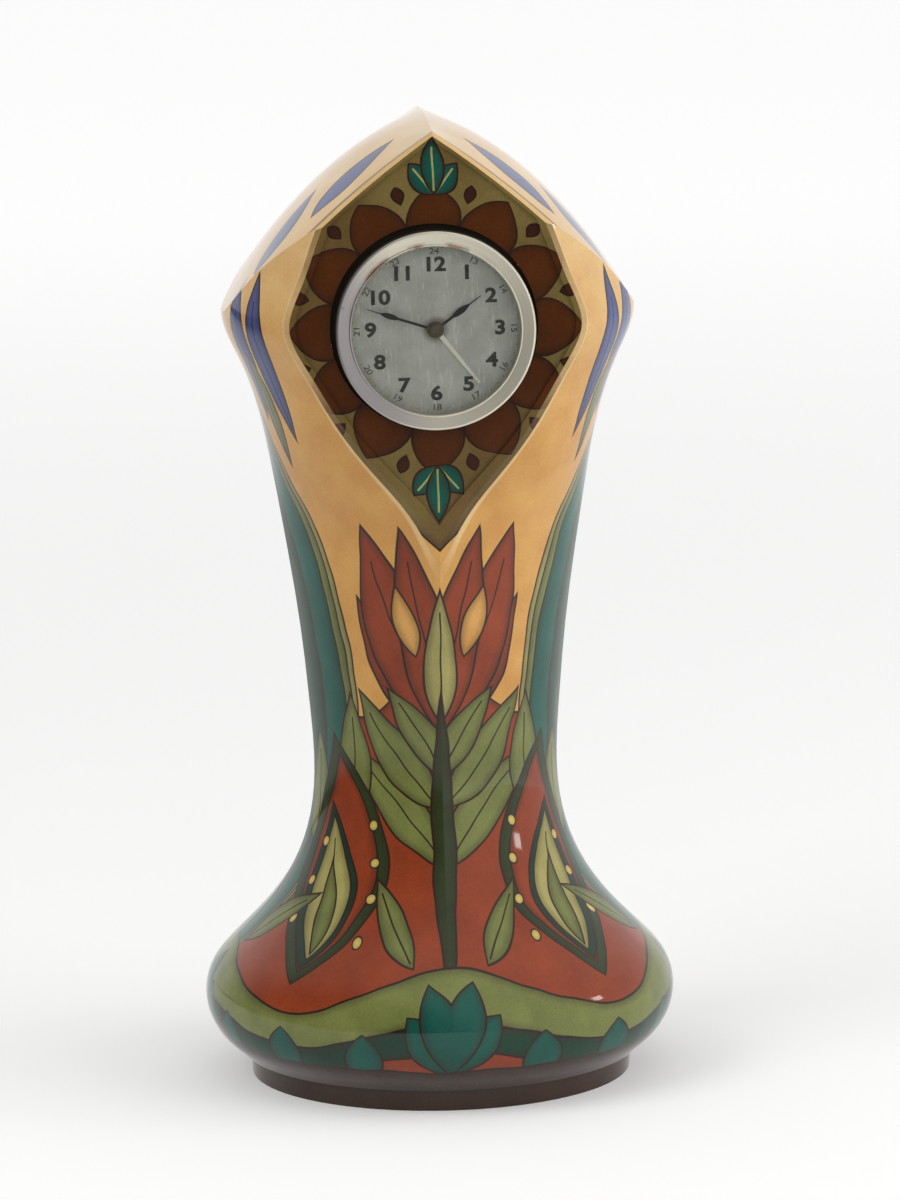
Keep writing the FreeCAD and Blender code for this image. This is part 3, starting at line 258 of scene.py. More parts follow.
# Pottery case: slip-cast earthenware, painted with coloured slips inside dark lines and covered with a clear,
# glossy glaze. The drawing is built up like the real one, ground first, then each shape with its outline. Its
# sizes are in millimetres.
def tint(red, green, blue):
    """The colour of a slip, a metal or an ink, from the 0 to 255 values at which it shows in daylight."""
    shown = (red / 255, green / 255, blue / 255)
    linear = [part / 12.92 if part <= 0.04045 else ((part + 0.055) / 1.055) ** 2.4 for part in shown]
    return (*linear, 1.0)


def noise(tree, place, scale, detail=2.0):
    """A cloudy pattern, as a number in Fac and as a Color."""
    node = tree.nodes.new("ShaderNodeTexNoise")
    node.inputs["Scale"].default_value = scale
    node.inputs["Detail"].default_value = detail
    tree.links.new(place, node.inputs["Vector"])
    return node.outputs


def bump(tree, height, distance, strength):
    """A normal that leans with the slopes of a pattern."""
    node = tree.nodes.new("ShaderNodeBump")
    node.inputs["Distance"].default_value = distance
    node.inputs["Strength"].default_value = strength
    tree.links.new(height, node.inputs["Height"])
    return node.outputs["Normal"]


def axes(tree, vector):
    """The X, Y and Z of a vector."""
    node = tree.nodes.new("ShaderNodeSeparateXYZ")
    tree.links.new(vector, node.inputs[0])
    return node.outputs


def reach(tree, sideways, up):
    """The distance of a point from the middle, from its two coordinates."""
    sideways_squared = calc(tree, "MULTIPLY", sideways, sideways)
    up_squared = calc(tree, "MULTIPLY", up, up)
    return calc(tree, "SQRT", calc(tree, "ADD", sideways_squared, up_squared))


unfinished = set(nodes)


def give_finish(material, names):
    """Cover some of the CAD nodes with a material."""
    for name in names:
        nodes[name].data.materials.clear()
        nodes[name].data.materials.append(material)
        unfinished.discard(name)


# A painted shape: its slip fills where the field is below zero and pools darker toward the edge, and a dark
# line runs along the edge.
edge_blur = 0.15
line_blur = 0.18
pool_width = 4.0
pool_line_share = 0.45
painted_shape, given, result = new_group(
    "painted shape",
    (("Ground", "Color"), ("Field", "Float"), ("Slip", "Color"), ("Line", "Color"), ("Line width", "Float")),
    (("Color", "Color"),),
)
inside = soft_step(painted_shape, given["Field"], edge_blur, -edge_blur)
near_edge = soft_step(painted_shape, given["Field"], -pool_width, 0.0)
darker_slip = colour_mix(painted_shape, pool_line_share, given["Slip"], given["Line"])
pooled = colour_mix(painted_shape, near_edge, given["Slip"], darker_slip)
filled = colour_mix(painted_shape, inside, given["Ground"], pooled)
from_edge = calc(painted_shape, "ABSOLUTE", given["Field"])
line_gap = calc(painted_shape, "SUBTRACT", from_edge, given["Line width"])
on_line = soft_step(painted_shape, line_gap, line_blur, -line_blur)
painted_shape.links.new(colour_mix(painted_shape, on_line, filled, given["Line"]), result["Color"])

# A leaf: pointed at both ends, leaning and bent, measured along and across its vein. It is fuller toward its
# start, or with a fullness below zero toward its tip, and its vein stops short of both ends.
least_swell = 0.1
vein_middle_share = 0.45
vein_half_share = 0.375
vein_end_slope = 40.0
leaf_field, given, result = new_group(
    "leaf field",
    (("Across", "Float"), ("Up", "Float"), ("Lean", "Float"), ("Length", "Float"), ("Half width", "Float"),
     ("Bend", "Float"), ("Fullness", "Float")),
    (("Field", "Float"), ("Vein", "Float")),
)
lean_sine = calc(leaf_field, "SINE", given["Lean"])
lean_cosine = calc(leaf_field, "COSINE", given["Lean"])
along = calc(leaf_field, "ADD", calc(leaf_field, "MULTIPLY", given["Across"], lean_sine),
             calc(leaf_field, "MULTIPLY", given["Up"], lean_cosine))
across = calc(leaf_field, "SUBTRACT", calc(leaf_field, "MULTIPLY", given["Across"], lean_cosine),
              calc(leaf_field, "MULTIPLY", given["Up"], lean_sine))
share = calc(leaf_field, "DIVIDE", along, given["Length"])
bow = calc(leaf_field, "MULTIPLY", calc(leaf_field, "MULTIPLY", share, share), given["Bend"])
across = calc(leaf_field, "ABSOLUTE", calc(leaf_field, "SUBTRACT", across, bow))
share_left = calc(leaf_field, "SUBTRACT", 1.0, share)
swell = calc(leaf_field, "MULTIPLY", calc(leaf_field, "MULTIPLY", share, 4.0), share_left)
before_middle = calc(leaf_field, "SUBTRACT", 0.5, share)
early = calc(leaf_field, "ADD", 1.0, calc(leaf_field, "MULTIPLY", given["Fullness"], before_middle))
swell = calc(leaf_field, "MULTIPLY", swell, calc(leaf_field, "MAXIMUM", early, least_swell))
edge = calc(leaf_field, "MULTIPLY", swell, given["Half width"])
leaf_field.links.new(calc(leaf_field, "SUBTRACT", across, edge), result["Field"])
from_vein_middle = calc(leaf_field, "ABSOLUTE", calc(leaf_field, "SUBTRACT", share, vein_middle_share))
past_vein = calc(leaf_field, "SUBTRACT", from_vein_middle, vein_half_share)
past_vein = calc(leaf_field, "MULTIPLY", past_vein, vein_end_slope)
leaf_field.links.new(calc(leaf_field, "MAXIMUM", across, past_vein), result["Vein"])

line_brown = tint(45, 28, 18)
ochre = tint(206, 152, 80)
cream = tint(221, 184, 128)
rust = tint(136, 56, 26)
sage = tint(112, 118, 62)
pale_sage = tint(158, 150, 88)
teal = tint(14, 82, 70)
bottle_green = tint(16, 56, 40)
dark_green = tint(44, 56, 26)
olive_brown = tint(120, 104, 58)
panel_brown = tint(100, 78, 42)
petal_brown = tint(76, 38, 10)
spot_brown = tint(66, 30, 16)
slate_blue = tint(74, 84, 132)
foot_brown = tint(62, 44, 34)
butter = tint(232, 206, 112)
bare_clay = tint(196, 168, 128)

# The painter's hand wobbles a little, which shifts the places that the drawing is measured from.
glaze, drawing, shader = new_finish("painted_glaze")
mm_per_metre = 1000.0
wobble_reach = 0.004
place = object_place(drawing)
wobble = noise(drawing, place, scale=38.0, detail=1.0)["Color"]
shake = vector_calc(drawing, "SUBTRACT", wobble, (0.5, 0.5, 0.5))["Vector"]
hand_drawn = vector_calc(drawing, "MULTIPLY_ADD", shake, (wobble_reach,) * 3, place)["Vector"]
drawn_place = axes(drawing, hand_drawn)
right_mm, back_mm, height_mm = [calc(drawing, "MULTIPLY", drawn_place[axis], mm_per_metre) for axis in "XYZ"]
azimuth = calc(drawing, "ARCTAN2", right_mm, calc(drawing, "MULTIPLY", back_mm, -1.0))
# The quarter's share runs from the front or back ridge to the ridge at the side.
front_ridge = 0.0
side_ridge = 1.0
quarter = calc(drawing, "PINGPONG", calc(drawing, "DIVIDE", azimuth, math.pi / 2), side_ridge)
quarter_mm = calc(drawing, "MULTIPLY", reach(drawing, right_mm, back_mm), math.pi / 2)
outline_width = 0.45
dot_outline_width = 0.3
vein_outer = 0.5
vein_core = 0.2


def paint(colour, field, fill, line_width=outline_width):
    """Paint a shape over what is there."""
    painted = use_group(drawing, painted_shape, {
        "Ground": colour, "Field": field, "Slip": fill, "Line": line_brown, "Line width": line_width})
    return painted["Color"]


def leaf_shape(across, up, lean, length, half_width, bend, fullness):
    """The Field and Vein of a leaf, from the distances across and up from its start."""
    return use_group(drawing, leaf_field, {
        "Across": across, "Up": up, "Lean": math.radians(lean), "Length": length,
        "Half width": half_width, "Bend": bend, "Fullness": fullness})


def sideways_from(start):
    """The distance round the case from a share of the way from the front ridge to the side ridge."""
    return calc(drawing, "MULTIPLY", calc(drawing, "SUBTRACT", quarter, start), quarter_mm)


def leaf(colour, start, height, lean, length, half_width, bend, fullness, fill, vein=False):
    """Paint a leaf that starts at a share of the way from the front ridge to the side ridge."""
    up = calc(drawing, "SUBTRACT", height_mm, height)
    shape = leaf_shape(sideways_from(start), up, lean, length, half_width, bend, fullness)
    colour = paint(colour, shape["Field"], fill)
    if vein:
        on_vein = soft_step(drawing, shape["Vein"], vein_outer, vein_core)
        colour = colour_mix(drawing, on_vein, colour, line_brown)
    return colour


def swayed(middle, sway):
    """A level round the case that sways up at the ridges and down between them."""
    wave = calc(drawing, "COSINE", calc(drawing, "MULTIPLY", quarter, 2 * math.pi))
    return calc(drawing, "ADD", calc(drawing, "MULTIPLY", wave, sway), middle)


def band(colour, middle, sway, half_width, fill):
    """Paint a band that runs round the case and sways."""
    away = calc(drawing, "ABSOLUTE", calc(drawing, "SUBTRACT", height_mm, swayed(middle, sway)))
    return paint(colour, calc(drawing, "SUBTRACT", away, half_width), fill)


def dot(colour, start, height, radius, fill):
    """Paint a round dot at a share of the way from the front ridge to the side ridge."""
    away = reach(drawing, sideways_from(start), calc(drawing, "SUBTRACT", height_mm, height))
    return paint(colour, calc(drawing, "SUBTRACT", away, radius), fill, dot_outline_width)


# Grounds, from the top down: cream roof, ochre shoulders, and a rust bulb under a wavy edge.
ochre_top = 250.0
cream_from = 370.0
rust_top = swayed(middle=160.0, sway=10.0)
colour = colour_mix(drawing, soft_step(drawing, height_mm, ochre_top, cream_from), ochre, cream)
colour = paint(colour, calc(drawing, "SUBTRACT", height_mm, rust_top), rust)
# Tall bottle-green arches on the side ridges, inside a pale and a sage border.
for height, length, half_width, fill in (
    (26, 276, 34, pale_sage),
    (28, 268, 31, sage),
    (30, 256, 27, teal),
    (60, 190, 14, bottle_green),
):
    colour = leaf(
        colour, start=side_ridge, height=height, lean=0, length=length, half_width=half_width, bend=0,
        fullness=0.1, fill=fill)
# Rust leaves that open from the front ridge over the ochre, with an ochre drop and a pale bud.
for lean, length, half_width, bend in ((44, 62, 8, -12), (27, 88, 12, -9), (9, 84, 10, 3)):
    colour = leaf(
        colour, start=front_ridge, height=146, lean=lean, length=length, half_width=half_width, bend=bend,
        fullness=0.4, fill=rust, vein=True)
colour = leaf(
    colour, start=0.13, height=176, lean=15, length=30, half_width=5, bend=0, fullness=0.5, fill=ochre)
colour = leaf(
    colour, start=front_ridge, height=150, lean=0, length=54, half_width=6.5, bend=0, fullness=0.8,
    fill=pale_sage, vein=True)
# Sage leaves that hang and climb at the waist.
for start, height, lean, length, half_width, bend in (
    (front_ridge, 92, 30, 62, 9, 14),
    (front_ridge, 116, 48, 56, 8.5, -10),
    (front_ridge, 128, 20, 40, 7, 8),
    (0.62, 104, -12, 54, 9, 8),
    (0.84, 96, 12, 44, 8, -6),
):
    colour = leaf(colour, start, height, lean, length, half_width, bend, fullness=0.6, fill=sage, vein=True)
# Medallions on the bulb: a dark ring, a rust field and a pale bud, with butter-yellow dots beside them.
for height, lean, length, half_width, bend, fill in (
    (50, 4, 92, 23, 10, dark_green),
    (54, 4, 80, 18, 8, rust),
    (55, 8, 60, 13.5, 8, bottle_green),
    (58, 8, 52, 10.5, 7, pale_sage),
    (60, 8, 34, 4.5, 4, sage),
):
    veined = fill == pale_sage
    colour = leaf(
        colour, start=0.5, height=height, lean=lean, length=length, half_width=half_width, bend=bend,
        fullness=0.9, fill=fill, vein=veined)
for start, height in ((0.33, 66), (0.325, 80), (0.35, 94), (0.40, 108), (0.68, 70), (0.70, 84), (0.71, 98)):
    colour = dot(colour, start, height, radius=2.0, fill=butter)
# A dark stem on the front ridge with side shoots, two swaying bands, and teal petals over the foot.
colour = leaf(
    colour, start=front_ridge, height=44, lean=0, length=118, half_width=4.5, bend=0, fullness=0.4,
    fill=dark_green)
for start, lean in ((0.12, 40), (0.88, -40)):
    colour = leaf(
        colour, start=start, height=58, lean=lean, length=34, half_width=5.5, bend=-6, fullness=0.6,
        fill=sage, vein=True)
colour = band(colour, middle=40.0, sway=9.0, half_width=9.0, fill=sage)
colour = band(colour, middle=27.0, sway=6.0, half_width=5.5, fill=bottle_green)
for lean, length in ((38, 30), (14, 36)):
    for ridge, ridge_lean in ((front_ridge, lean), (side_ridge, -lean)):
        colour = leaf(
            colour, start=ridge, height=18, lean=ridge_lean, length=length, half_width=8, bend=0,
            fullness=-0.4, fill=teal)
for start in (0.25, 0.5, 0.75):
    colour = leaf(
        colour, start=start, height=10, lean=0, length=24, half_width=8, bend=0, fullness=-0.4, fill=teal)
foot_top = 19.0
colour = paint(colour, calc(drawing, "SUBTRACT", height_mm, foot_top), foot_brown)
# Slate-blue and sage leaves on the shoulders, and slate-blue drops on the roof.
for start, height, lean, length, half_width, bend, fill in (
    (0.60, 262, 16, 66, 6, -10, slate_blue),
    (0.80, 268, -10, 56, 7, 8, slate_blue),
    (0.70, 250, 4, 46, 4.5, 4, sage),
):
    colour = leaf(colour, start, height, lean, length, half_width, bend, fullness=-0.4, fill=fill, vein=True)
roof_foot = 322.0
under_roof = calc(drawing, "SUBTRACT", roof_foot, height_mm)
side_mm = calc(drawing, "ABSOLUTE", right_mm)
depth_mm = calc(drawing, "ABSOLUTE", back_mm)
for side, depth, lean, length in ((14, 30, 62, 36), (44, 18, 50, 30)):
    drop_across = calc(drawing, "SUBTRACT", side_mm, side)
    drop_up = calc(drawing, "SUBTRACT", depth_mm, depth)
    drop = leaf_shape(drop_across, drop_up, lean, length, half_width=7.5, bend=3.0, fullness=-0.6)
    colour = paint(colour, calc(drawing, "MAXIMUM", drop["Field"], under_roof), slate_blue)

# Front panel: a sunk olive-brown ground inside the pale rim of the face, with a ring of pointed dark-brown
# petals round the bezel, small spots between their tips, and teal leaves above and below.
bezel_low, bezel_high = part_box("bezel")
dial_low, dial_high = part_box("dial")
dial_centre = (Vector(dial_low) + Vector(dial_high)) / 2
bezel_stand_out = 3.0
face_depth = bezel_low[1] * mm_per_metre + bezel_stand_out
panel_up = calc(drawing, "SUBTRACT", height_mm, dial_centre.z * mm_per_metre)
panel_reach = reach(drawing, right_mm, panel_up)
panel_turn = calc(drawing, "ARCTAN2", right_mm, panel_up)
petals = 12
petal_phase = 0.0
between_petals = 1.0


def round_the_dial(phase):
    """The distance along the circle from the nearest of the petals, or from between two of them."""
    half_divisions = calc(drawing, "MULTIPLY_ADD", panel_turn, petals / math.pi, phase)
    share = calc(drawing, "PINGPONG", half_divisions, 1.0)
    return calc(drawing, "MULTIPLY", calc(drawing, "MULTIPLY", share, math.pi / petals), panel_reach)


shade = soft_step(drawing, noise(drawing, place, scale=30.0)["Fac"], start=0.35, end=0.65)
panel_colour = colour_mix(drawing, shade, olive_brown, panel_brown)
for phase, base, length, half_width, fill in (
    (petal_phase, 28, 29, 10.8, petal_brown),
    (between_petals, 50.5, 7, 2.2, spot_brown),
):
    out_from_base = calc(drawing, "SUBTRACT", panel_reach, base)
    petal = leaf_shape(
        round_the_dial(phase), out_from_base, lean=0, length=length, half_width=half_width, bend=0,
        fullness=-0.35)
    panel_colour = paint(panel_colour, petal["Field"], fill)
spray_start = 53.0
spray_vein_core = 0.25
for side in (1.0, -1.0):
    spray_up = calc(drawing, "SUBTRACT", calc(drawing, "MULTIPLY", panel_up, side), spray_start)
    for lean, length in ((40, 15), (-40, 15), (0, 22)):
        spray = leaf_shape(right_mm, spray_up, lean, length, half_width=4.6, bend=0, fullness=0.2)
        panel_colour = paint(panel_colour, spray["Field"], teal)
        on_vein = soft_step(drawing, spray["Vein"], vein_outer, spray_vein_core)
        panel_colour = colour_mix(drawing, on_vein, panel_colour, pale_sage)
panel_tip = 87.0
tip_slope = 0.7
past_tip = calc(drawing, "SUBTRACT", side_mm, calc(drawing, "ADD", panel_up, panel_tip))
panel_colour = paint(colour, calc(drawing, "MULTIPLY", past_tip, tip_slope), panel_colour)

# The panel covers the flat face and the step down to the sunk ground, but not the beveled edge outside them,
# which is cream. These edges are sharp, so they follow the surface itself and not the wobbling place.
surface = drawing.nodes.new("ShaderNodeTexCoord").outputs
true_place = axes(drawing, surface["Object"])
facing = axes(drawing, surface["Normal"])
true_depth = calc(drawing, "MULTIPLY", true_place["Y"], mm_per_metre)
true_height = calc(drawing, "MULTIPLY", true_place["Z"], mm_per_metre)
sunk_ground_reach = 2.0
past_ground_reach = 4.0
bevel_start = 1.2
bevel_end = 1.6
flat = soft_step(drawing, facing["Y"], start=-0.9, end=-0.96)
step = soft_step(drawing, calc(drawing, "ABSOLUTE", facing["Y"]), start=0.4, end=0.25)
near_face = soft_step(drawing, true_depth, face_depth + past_ground_reach, face_depth + sunk_ground_reach)
above_waist = soft_step(drawing, true_height, start=140.0, end=150.0)
on_front = calc(drawing, "MULTIPLY", calc(drawing, "ADD", flat, step), near_face)
on_front = calc(drawing, "MULTIPLY", on_front, above_waist)
before_bevel_end = soft_step(drawing, true_depth, face_depth + bevel_end, face_depth + bevel_start)
above_shoulder = soft_step(drawing, true_height, start=200.0, end=210.0)
beveled_edge = calc(drawing, "MULTIPLY", before_bevel_end, above_shoulder)
edged = colour_mix(drawing, beveled_edge, colour, cream)
colour = colour_mix(drawing, on_front, edged, panel_colour)
# Inside, where the surface faces the case's own upright axis, the clay is bare.
outward = calc(drawing, "ADD", calc(drawing, "MULTIPLY", true_place["X"], facing["X"]),
               calc(drawing, "MULTIPLY", true_place["Y"], facing["Y"]))
inner_side = soft_step(drawing, outward, start=-0.004, end=-0.006)
colour = colour_mix(drawing, inner_side, colour, bare_clay)

# Fired slips cloud and thin out a little, and fine specks show through them.
clouds = noise(drawing, place, scale=60.0, detail=6.0)["Fac"]
colour = colour_mix(drawing, share=0.5, first=colour, second=clouds, blend="SOFT_LIGHT")
specks = noise(drawing, place, scale=1400.0)["Fac"]
colour = colour_mix(drawing, share=0.3, first=colour, second=specks, blend="SOFT_LIGHT")
drawing.links.new(colour, shader.inputs["Base Color"])
swells = noise(drawing, place, scale=40.0)["Fac"]
drawing.links.new(bump(drawing, swells, distance=0.0004, strength=0.25), shader.inputs["Normal"])
drawing.links.new(between(drawing, inner_side, least=0.07, most=0.77), shader.inputs["Roughness"])
shader.inputs["IOR"].default_value = 1.52
shader.inputs["Specular IOR Level"].default_value = 0.34
give_finish(glaze, ["ceramic_case"])


# Bezel: a turned brass ring, plated with nickel and brushed round the dial. The plate is worn through to
# copper-brown along the inner edge. Its left side is a painted reflection in a duller grey, and the ring's
# outer side is painted shade, darkened where it faces the gap round the bezel.
line_drift = 1.2
brushing, given, result = new_group(
    "turned brushing",
    (("Place", "Vector"), ("Dial height", "Float"), ("Lines per metre", "Float")),
    (("Lines", "Float"), ("Radius", "Float"), ("Turn", "Float")),
)
ring_place = axes(brushing, given["Place"])
rise = calc(brushing, "SUBTRACT", ring_place["Z"], given["Dial height"])
radius = reach(brushing, ring_place["X"], rise)
turn = calc(brushing, "ARCTAN2", ring_place["X"], rise)
line_place = brushing.nodes.new("ShaderNodeCombineXYZ")
brushing.links.new(calc(brushing, "MULTIPLY", radius, given["Lines per metre"]), line_place.inputs["X"])
brushing.links.new(calc(brushing, "MULTIPLY", turn, line_drift), line_place.inputs["Y"])
brushing.links.new(noise(brushing, line_place.outputs[0], scale=1.0, detail=4.0)["Fac"], result["Lines"])
brushing.links.new(radius, result["Radius"])
brushing.links.new(turn, result["Turn"])


def brushed_round(tree, lines_per_metre=2500.0):
    """The Lines that turning leaves round the dial's middle, with each point's Radius and Turn."""
    return use_group(tree, brushing, {
        "Place": object_place(tree), "Dial height": dial_centre.z, "Lines per metre": lines_per_metre})


bright_nickel = tint(236, 230, 210)
line_shade = tint(208, 202, 184)
left_reflection_grey = tint(146, 140, 150)
copper_brown = tint(150, 112, 84)
outer_side_shade = tint(104, 98, 90)
spot_tarnish = tint(110, 84, 62)
worn_radius = 0.0336
unworn_radius = 0.0355
face_radius = 0.0387
side_radius = 0.0389
brushed_nickel, tree, shader = new_finish("brushed_bezel_nickel")
brushed = brushed_round(tree)
blotches = noise(tree, object_place(tree), scale=95.0, detail=7.0)["Fac"]


def one_side(left_turn, start, full=1.0):
    """The full share on the side of the ring that lies at an angle to the left of its top, and 0 opposite."""
    off = calc(tree, "ADD", brushed["Turn"], math.radians(left_turn))
    return soft_step(tree, calc(tree, "COSINE", off), start, end=0.9, full=full)


metal = colour_mix(tree, brushed["Lines"], bright_nickel, line_shade)
# Painted reflection: the left side of the ring is mixed toward a darker purple-grey, as if it mirrored
# something dark.
metal = colour_mix(tree, one_side(105, start=0.1, full=0.75), metal, left_reflection_grey)
inner_edge = soft_step(tree, brushed["Radius"], unworn_radius, worn_radius)
worn = calc(tree, "MULTIPLY", inner_edge, one_side(15, start=0.2))
worn = calc(tree, "MULTIPLY", worn, soft_step(tree, blotches, start=0.44, end=0.64, full=0.8))
metal = colour_mix(tree, worn, metal, copper_brown)
# Painted shade: the ring's outer side, which faces the gap round the bezel, is darkened, and it is made
# rougher.
shaded_outer_side = soft_step(tree, brushed["Radius"], face_radius, side_radius)
metal = colour_mix(tree, shaded_outer_side, metal, outer_side_shade)
spots = soft_step(tree, blotches, start=0.66, end=0.72, full=0.6)
metal = colour_mix(tree, spots, metal, spot_tarnish)
tree.links.new(metal, shader.inputs["Base Color"])
line_roughness = 0.22
roughness = between(tree, calc(tree, "ADD", worn, shaded_outer_side), least=0.28, most=0.53)
roughness = calc(tree, "MULTIPLY_ADD", brushed["Lines"], line_roughness, roughness)
tree.links.new(roughness, shader.inputs["Roughness"])
tree.links.new(bump(tree, brushed["Lines"], distance=0.00003, strength=0.35), shader.inputs["Normal"])
shader.inputs["Metallic"].default_value = 1.0
give_finish(brushed_nickel, ["bezel"])


# Back cover and clips: pressed from brass sheet, plated with nickel and held by plated screws. The plate is
# evenly worn.
def metal_finish(name, colour, roughness, grain_scale, grain_depth):
    """A worn metal with fine uneven grain in its colour, gloss and surface."""
    material, tree, shader = new_finish(name)
    dark_share = 0.6
    roughness_spread = 0.15
    grain = noise(tree, object_place(tree), grain_scale, detail=5.0)["Fac"]
    dark = tuple(part * dark_share for part in colour[:3]) + (1.0,)
    tree.links.new(colour_mix(tree, grain, colour, dark), shader.inputs["Base Color"])
    gloss = between(tree, grain, roughness - roughness_spread, roughness + roughness_spread)
    tree.links.new(gloss, shader.inputs["Roughness"])
    tree.links.new(bump(tree, grain, distance=grain_depth, strength=0.3), shader.inputs["Normal"])
    shader.inputs["Metallic"].default_value = 1.0
    return material


plate_grey = tint(190, 186, 176)
nickel = metal_finish("worn_nickel", plate_grey, roughness=0.34, grain_scale=900.0, grain_depth=0.00004)
give_finish(nickel, ["back_cover", "cover_screws", "case_clips", "clip_screws"])


# Drum: a plain metal tube that holds the movement in the case. Its side is out of sight and has gone dull and
# nearly black.
soot_black = tint(44, 38, 32)
soot_brown = tint(74, 66, 56)
blackened, tree, shader = new_finish("blackened_drum_side")
soot = noise(tree, object_place(tree), scale=250.0, detail=6.0)["Fac"]
tree.links.new(colour_mix(tree, soot, soot_black, soot_brown), shader.inputs["Base Color"])
shader.inputs["Roughness"].default_value = 0.85
shader.inputs["Specular IOR Level"].default_value = 0.1
give_finish(blackened, ["drum_case"])


# Painted shade: a ring of dark felt behind the bezel stands for the shade in the gap between the drum and its
# hole. Its outer edge is set off-centre, so that the dark shows widest at the top left. It also closes the
# view into the case.
shade_crescent_left = 0.00055
shade_crescent_up = 0.001
inside_bezel_edge = 0.00092
outside_bezel_edge = 0.0014
behind_bezel = 0.0002
felt_thickness = 0.0025
felt_corners = 128
bezel_radius = (bezel_high[0] - bezel_low[0]) / 2
felt_inner_radius = bezel_radius - inside_bezel_edge
felt_outer_radius = bezel_radius + outside_bezel_edge
felt_front = bezel_high[1] + behind_bezel


def felt_edge(radius, middle_x, middle_z):
    """A circle that faces the front, level with the felt's front."""
    bpy.ops.object.select_all(action="DESELECT")
    bpy.ops.mesh.primitive_circle_add(vertices=felt_corners, radius=radius, rotation=(math.pi / 2, 0, 0),
                                      location=(middle_x, felt_front, middle_z))
    return bpy.context.object


inner_loop = felt_edge(felt_inner_radius, dial_centre.x, dial_centre.z)
# The ring's outer edge is moved left and up, which widens the painted shade at the top left.
felt = felt_edge(felt_outer_radius, dial_centre.x - shade_crescent_left, dial_centre.z + shade_crescent_up)
felt.name = "gap_shade_ring"
inner_loop.select_set(True)
bpy.ops.object.join()
bpy.ops.object.transform_apply(location=True, rotation=True, scale=True)
bpy.ops.object.mode_set(mode="EDIT")
bpy.ops.mesh.select_all(action="SELECT")
bpy.ops.mesh.bridge_edge_loops()
bpy.ops.mesh.select_all(action="SELECT")
bpy.ops.mesh.extrude_region_move(TRANSFORM_OT_translate={"value": (0, felt_thickness, 0)})
bpy.ops.mesh.select_all(action="SELECT")
bpy.ops.mesh.normals_make_consistent(inside=False)
bpy.ops.object.mode_set(mode="OBJECT")
# The felt's near-black colour is painted shade.
gap_shade_black = tint(26, 22, 18)
gap_shade_brown = tint(58, 50, 42)
gap_shade_felt, tree, shader = new_finish("gap_shade_felt")
fibres = noise(tree, object_place(tree), scale=1800.0, detail=4.0)["Fac"]
tree.links.new(colour_mix(tree, fibres, gap_shade_black, gap_shade_brown), shader.inputs["Base Color"])
shader.inputs["Roughness"].default_value = 0.95
shader.inputs["Specular IOR Level"].default_value = 0.1
felt.data.materials.append(gap_shade_felt)
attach(felt, "root")


# Dial glass: a flat pane of clear glass, cut round and laid in the bezel behind its lip. It is clean, so that
# only its reflections show.
glass, tree, shader = new_finish("clear_glass")
shader.inputs["Base Color"].default_value = (0.97, 0.98, 0.97, 1)
shader.inputs["Roughness"].default_value = 0.02
shader.inputs["Transmission Weight"].default_value = 1.0
shader.inputs["IOR"].default_value = 1.45
give_finish(glass, ["glass"])


# Dial: a silvered brass plate and the ring round it. The silvering is dulled in cloudy patches, finely
# scratched and flecked, and stained brown round the hands' hub and along its rim.
dull_silver = tint(184, 185, 175)
bright_silver = tint(205, 206, 196)
scratch_white = tint(232, 233, 222)
fleck_grey = tint(96, 96, 88)
hub_brown = tint(112, 92, 70)
rim_brown = tint(160, 148, 118)
hub_stain_full = 0.0030
hub_stain_end = 0.0062
rim_stain_start = 0.0300
rim_stain_full = 0.0345
silvering, tree, shader = new_finish("aged_silvering")
place = object_place(tree)
radius = brushed_round(tree)["Radius"]
brightness = soft_step(tree, noise(tree, place, scale=110.0, detail=9.0)["Fac"], start=0.25, end=0.75)
plate = colour_mix(tree, brightness, dull_silver, bright_silver)
scratch_stretch = tree.nodes.new("ShaderNodeMapping")
scratch_stretch.inputs["Rotation"].default_value = (0, math.radians(35), 0)
scratch_stretch.inputs["Scale"].default_value = (1300, 300, 190)
tree.links.new(place, scratch_stretch.inputs["Vector"])
scratches = noise(tree, scratch_stretch.outputs[0], scale=1.0, detail=3.0)["Fac"]
scratched = soft_step(tree, scratches, start=0.56, end=0.72, full=0.6)
plate = colour_mix(tree, scratched, plate, scratch_white)
flecks = noise(tree, place, scale=1300.0)["Fac"]
flecked = soft_step(tree, flecks, start=0.62, end=0.75, full=0.35)
plate = colour_mix(tree, flecked, plate, fleck_grey)
hub_stain = soft_step(tree, radius, hub_stain_end, hub_stain_full, full=0.75)
plate = colour_mix(tree, hub_stain, plate, hub_brown)
rim_stain = soft_step(tree, radius, rim_stain_start, rim_stain_full, full=0.45)
plate = colour_mix(tree, rim_stain, plate, rim_brown)
tree.links.new(plate, shader.inputs["Base Color"])
shader.inputs["Roughness"].default_value = 0.5
give_finish(silvering, ["dial", "dial_ring"])


# Printing on the dial: bold hour figures, small 13 to 24 figures turned to follow the ring, and a faint
# minute track, all in dark olive ink that has worn a little.
above_plate = 0.00001
print_depth = dial_low[1] - above_plate
figure_thickness = 0.00001
figure_widening = 1.18
figure_flattening = 0.1


def joined(parts, name):
    """Some parts joined in one piece, with its place in its mesh."""
    bpy.ops.object.select_all(action="DESELECT")
    for part in parts:
        part.select_set(True)
    piece = parts[0]
    bpy.context.view_layer.objects.active = piece
    bpy.ops.object.join()
    bpy.ops.object.transform_apply(location=True, rotation=True, scale=True)
    piece.name = name
    return piece


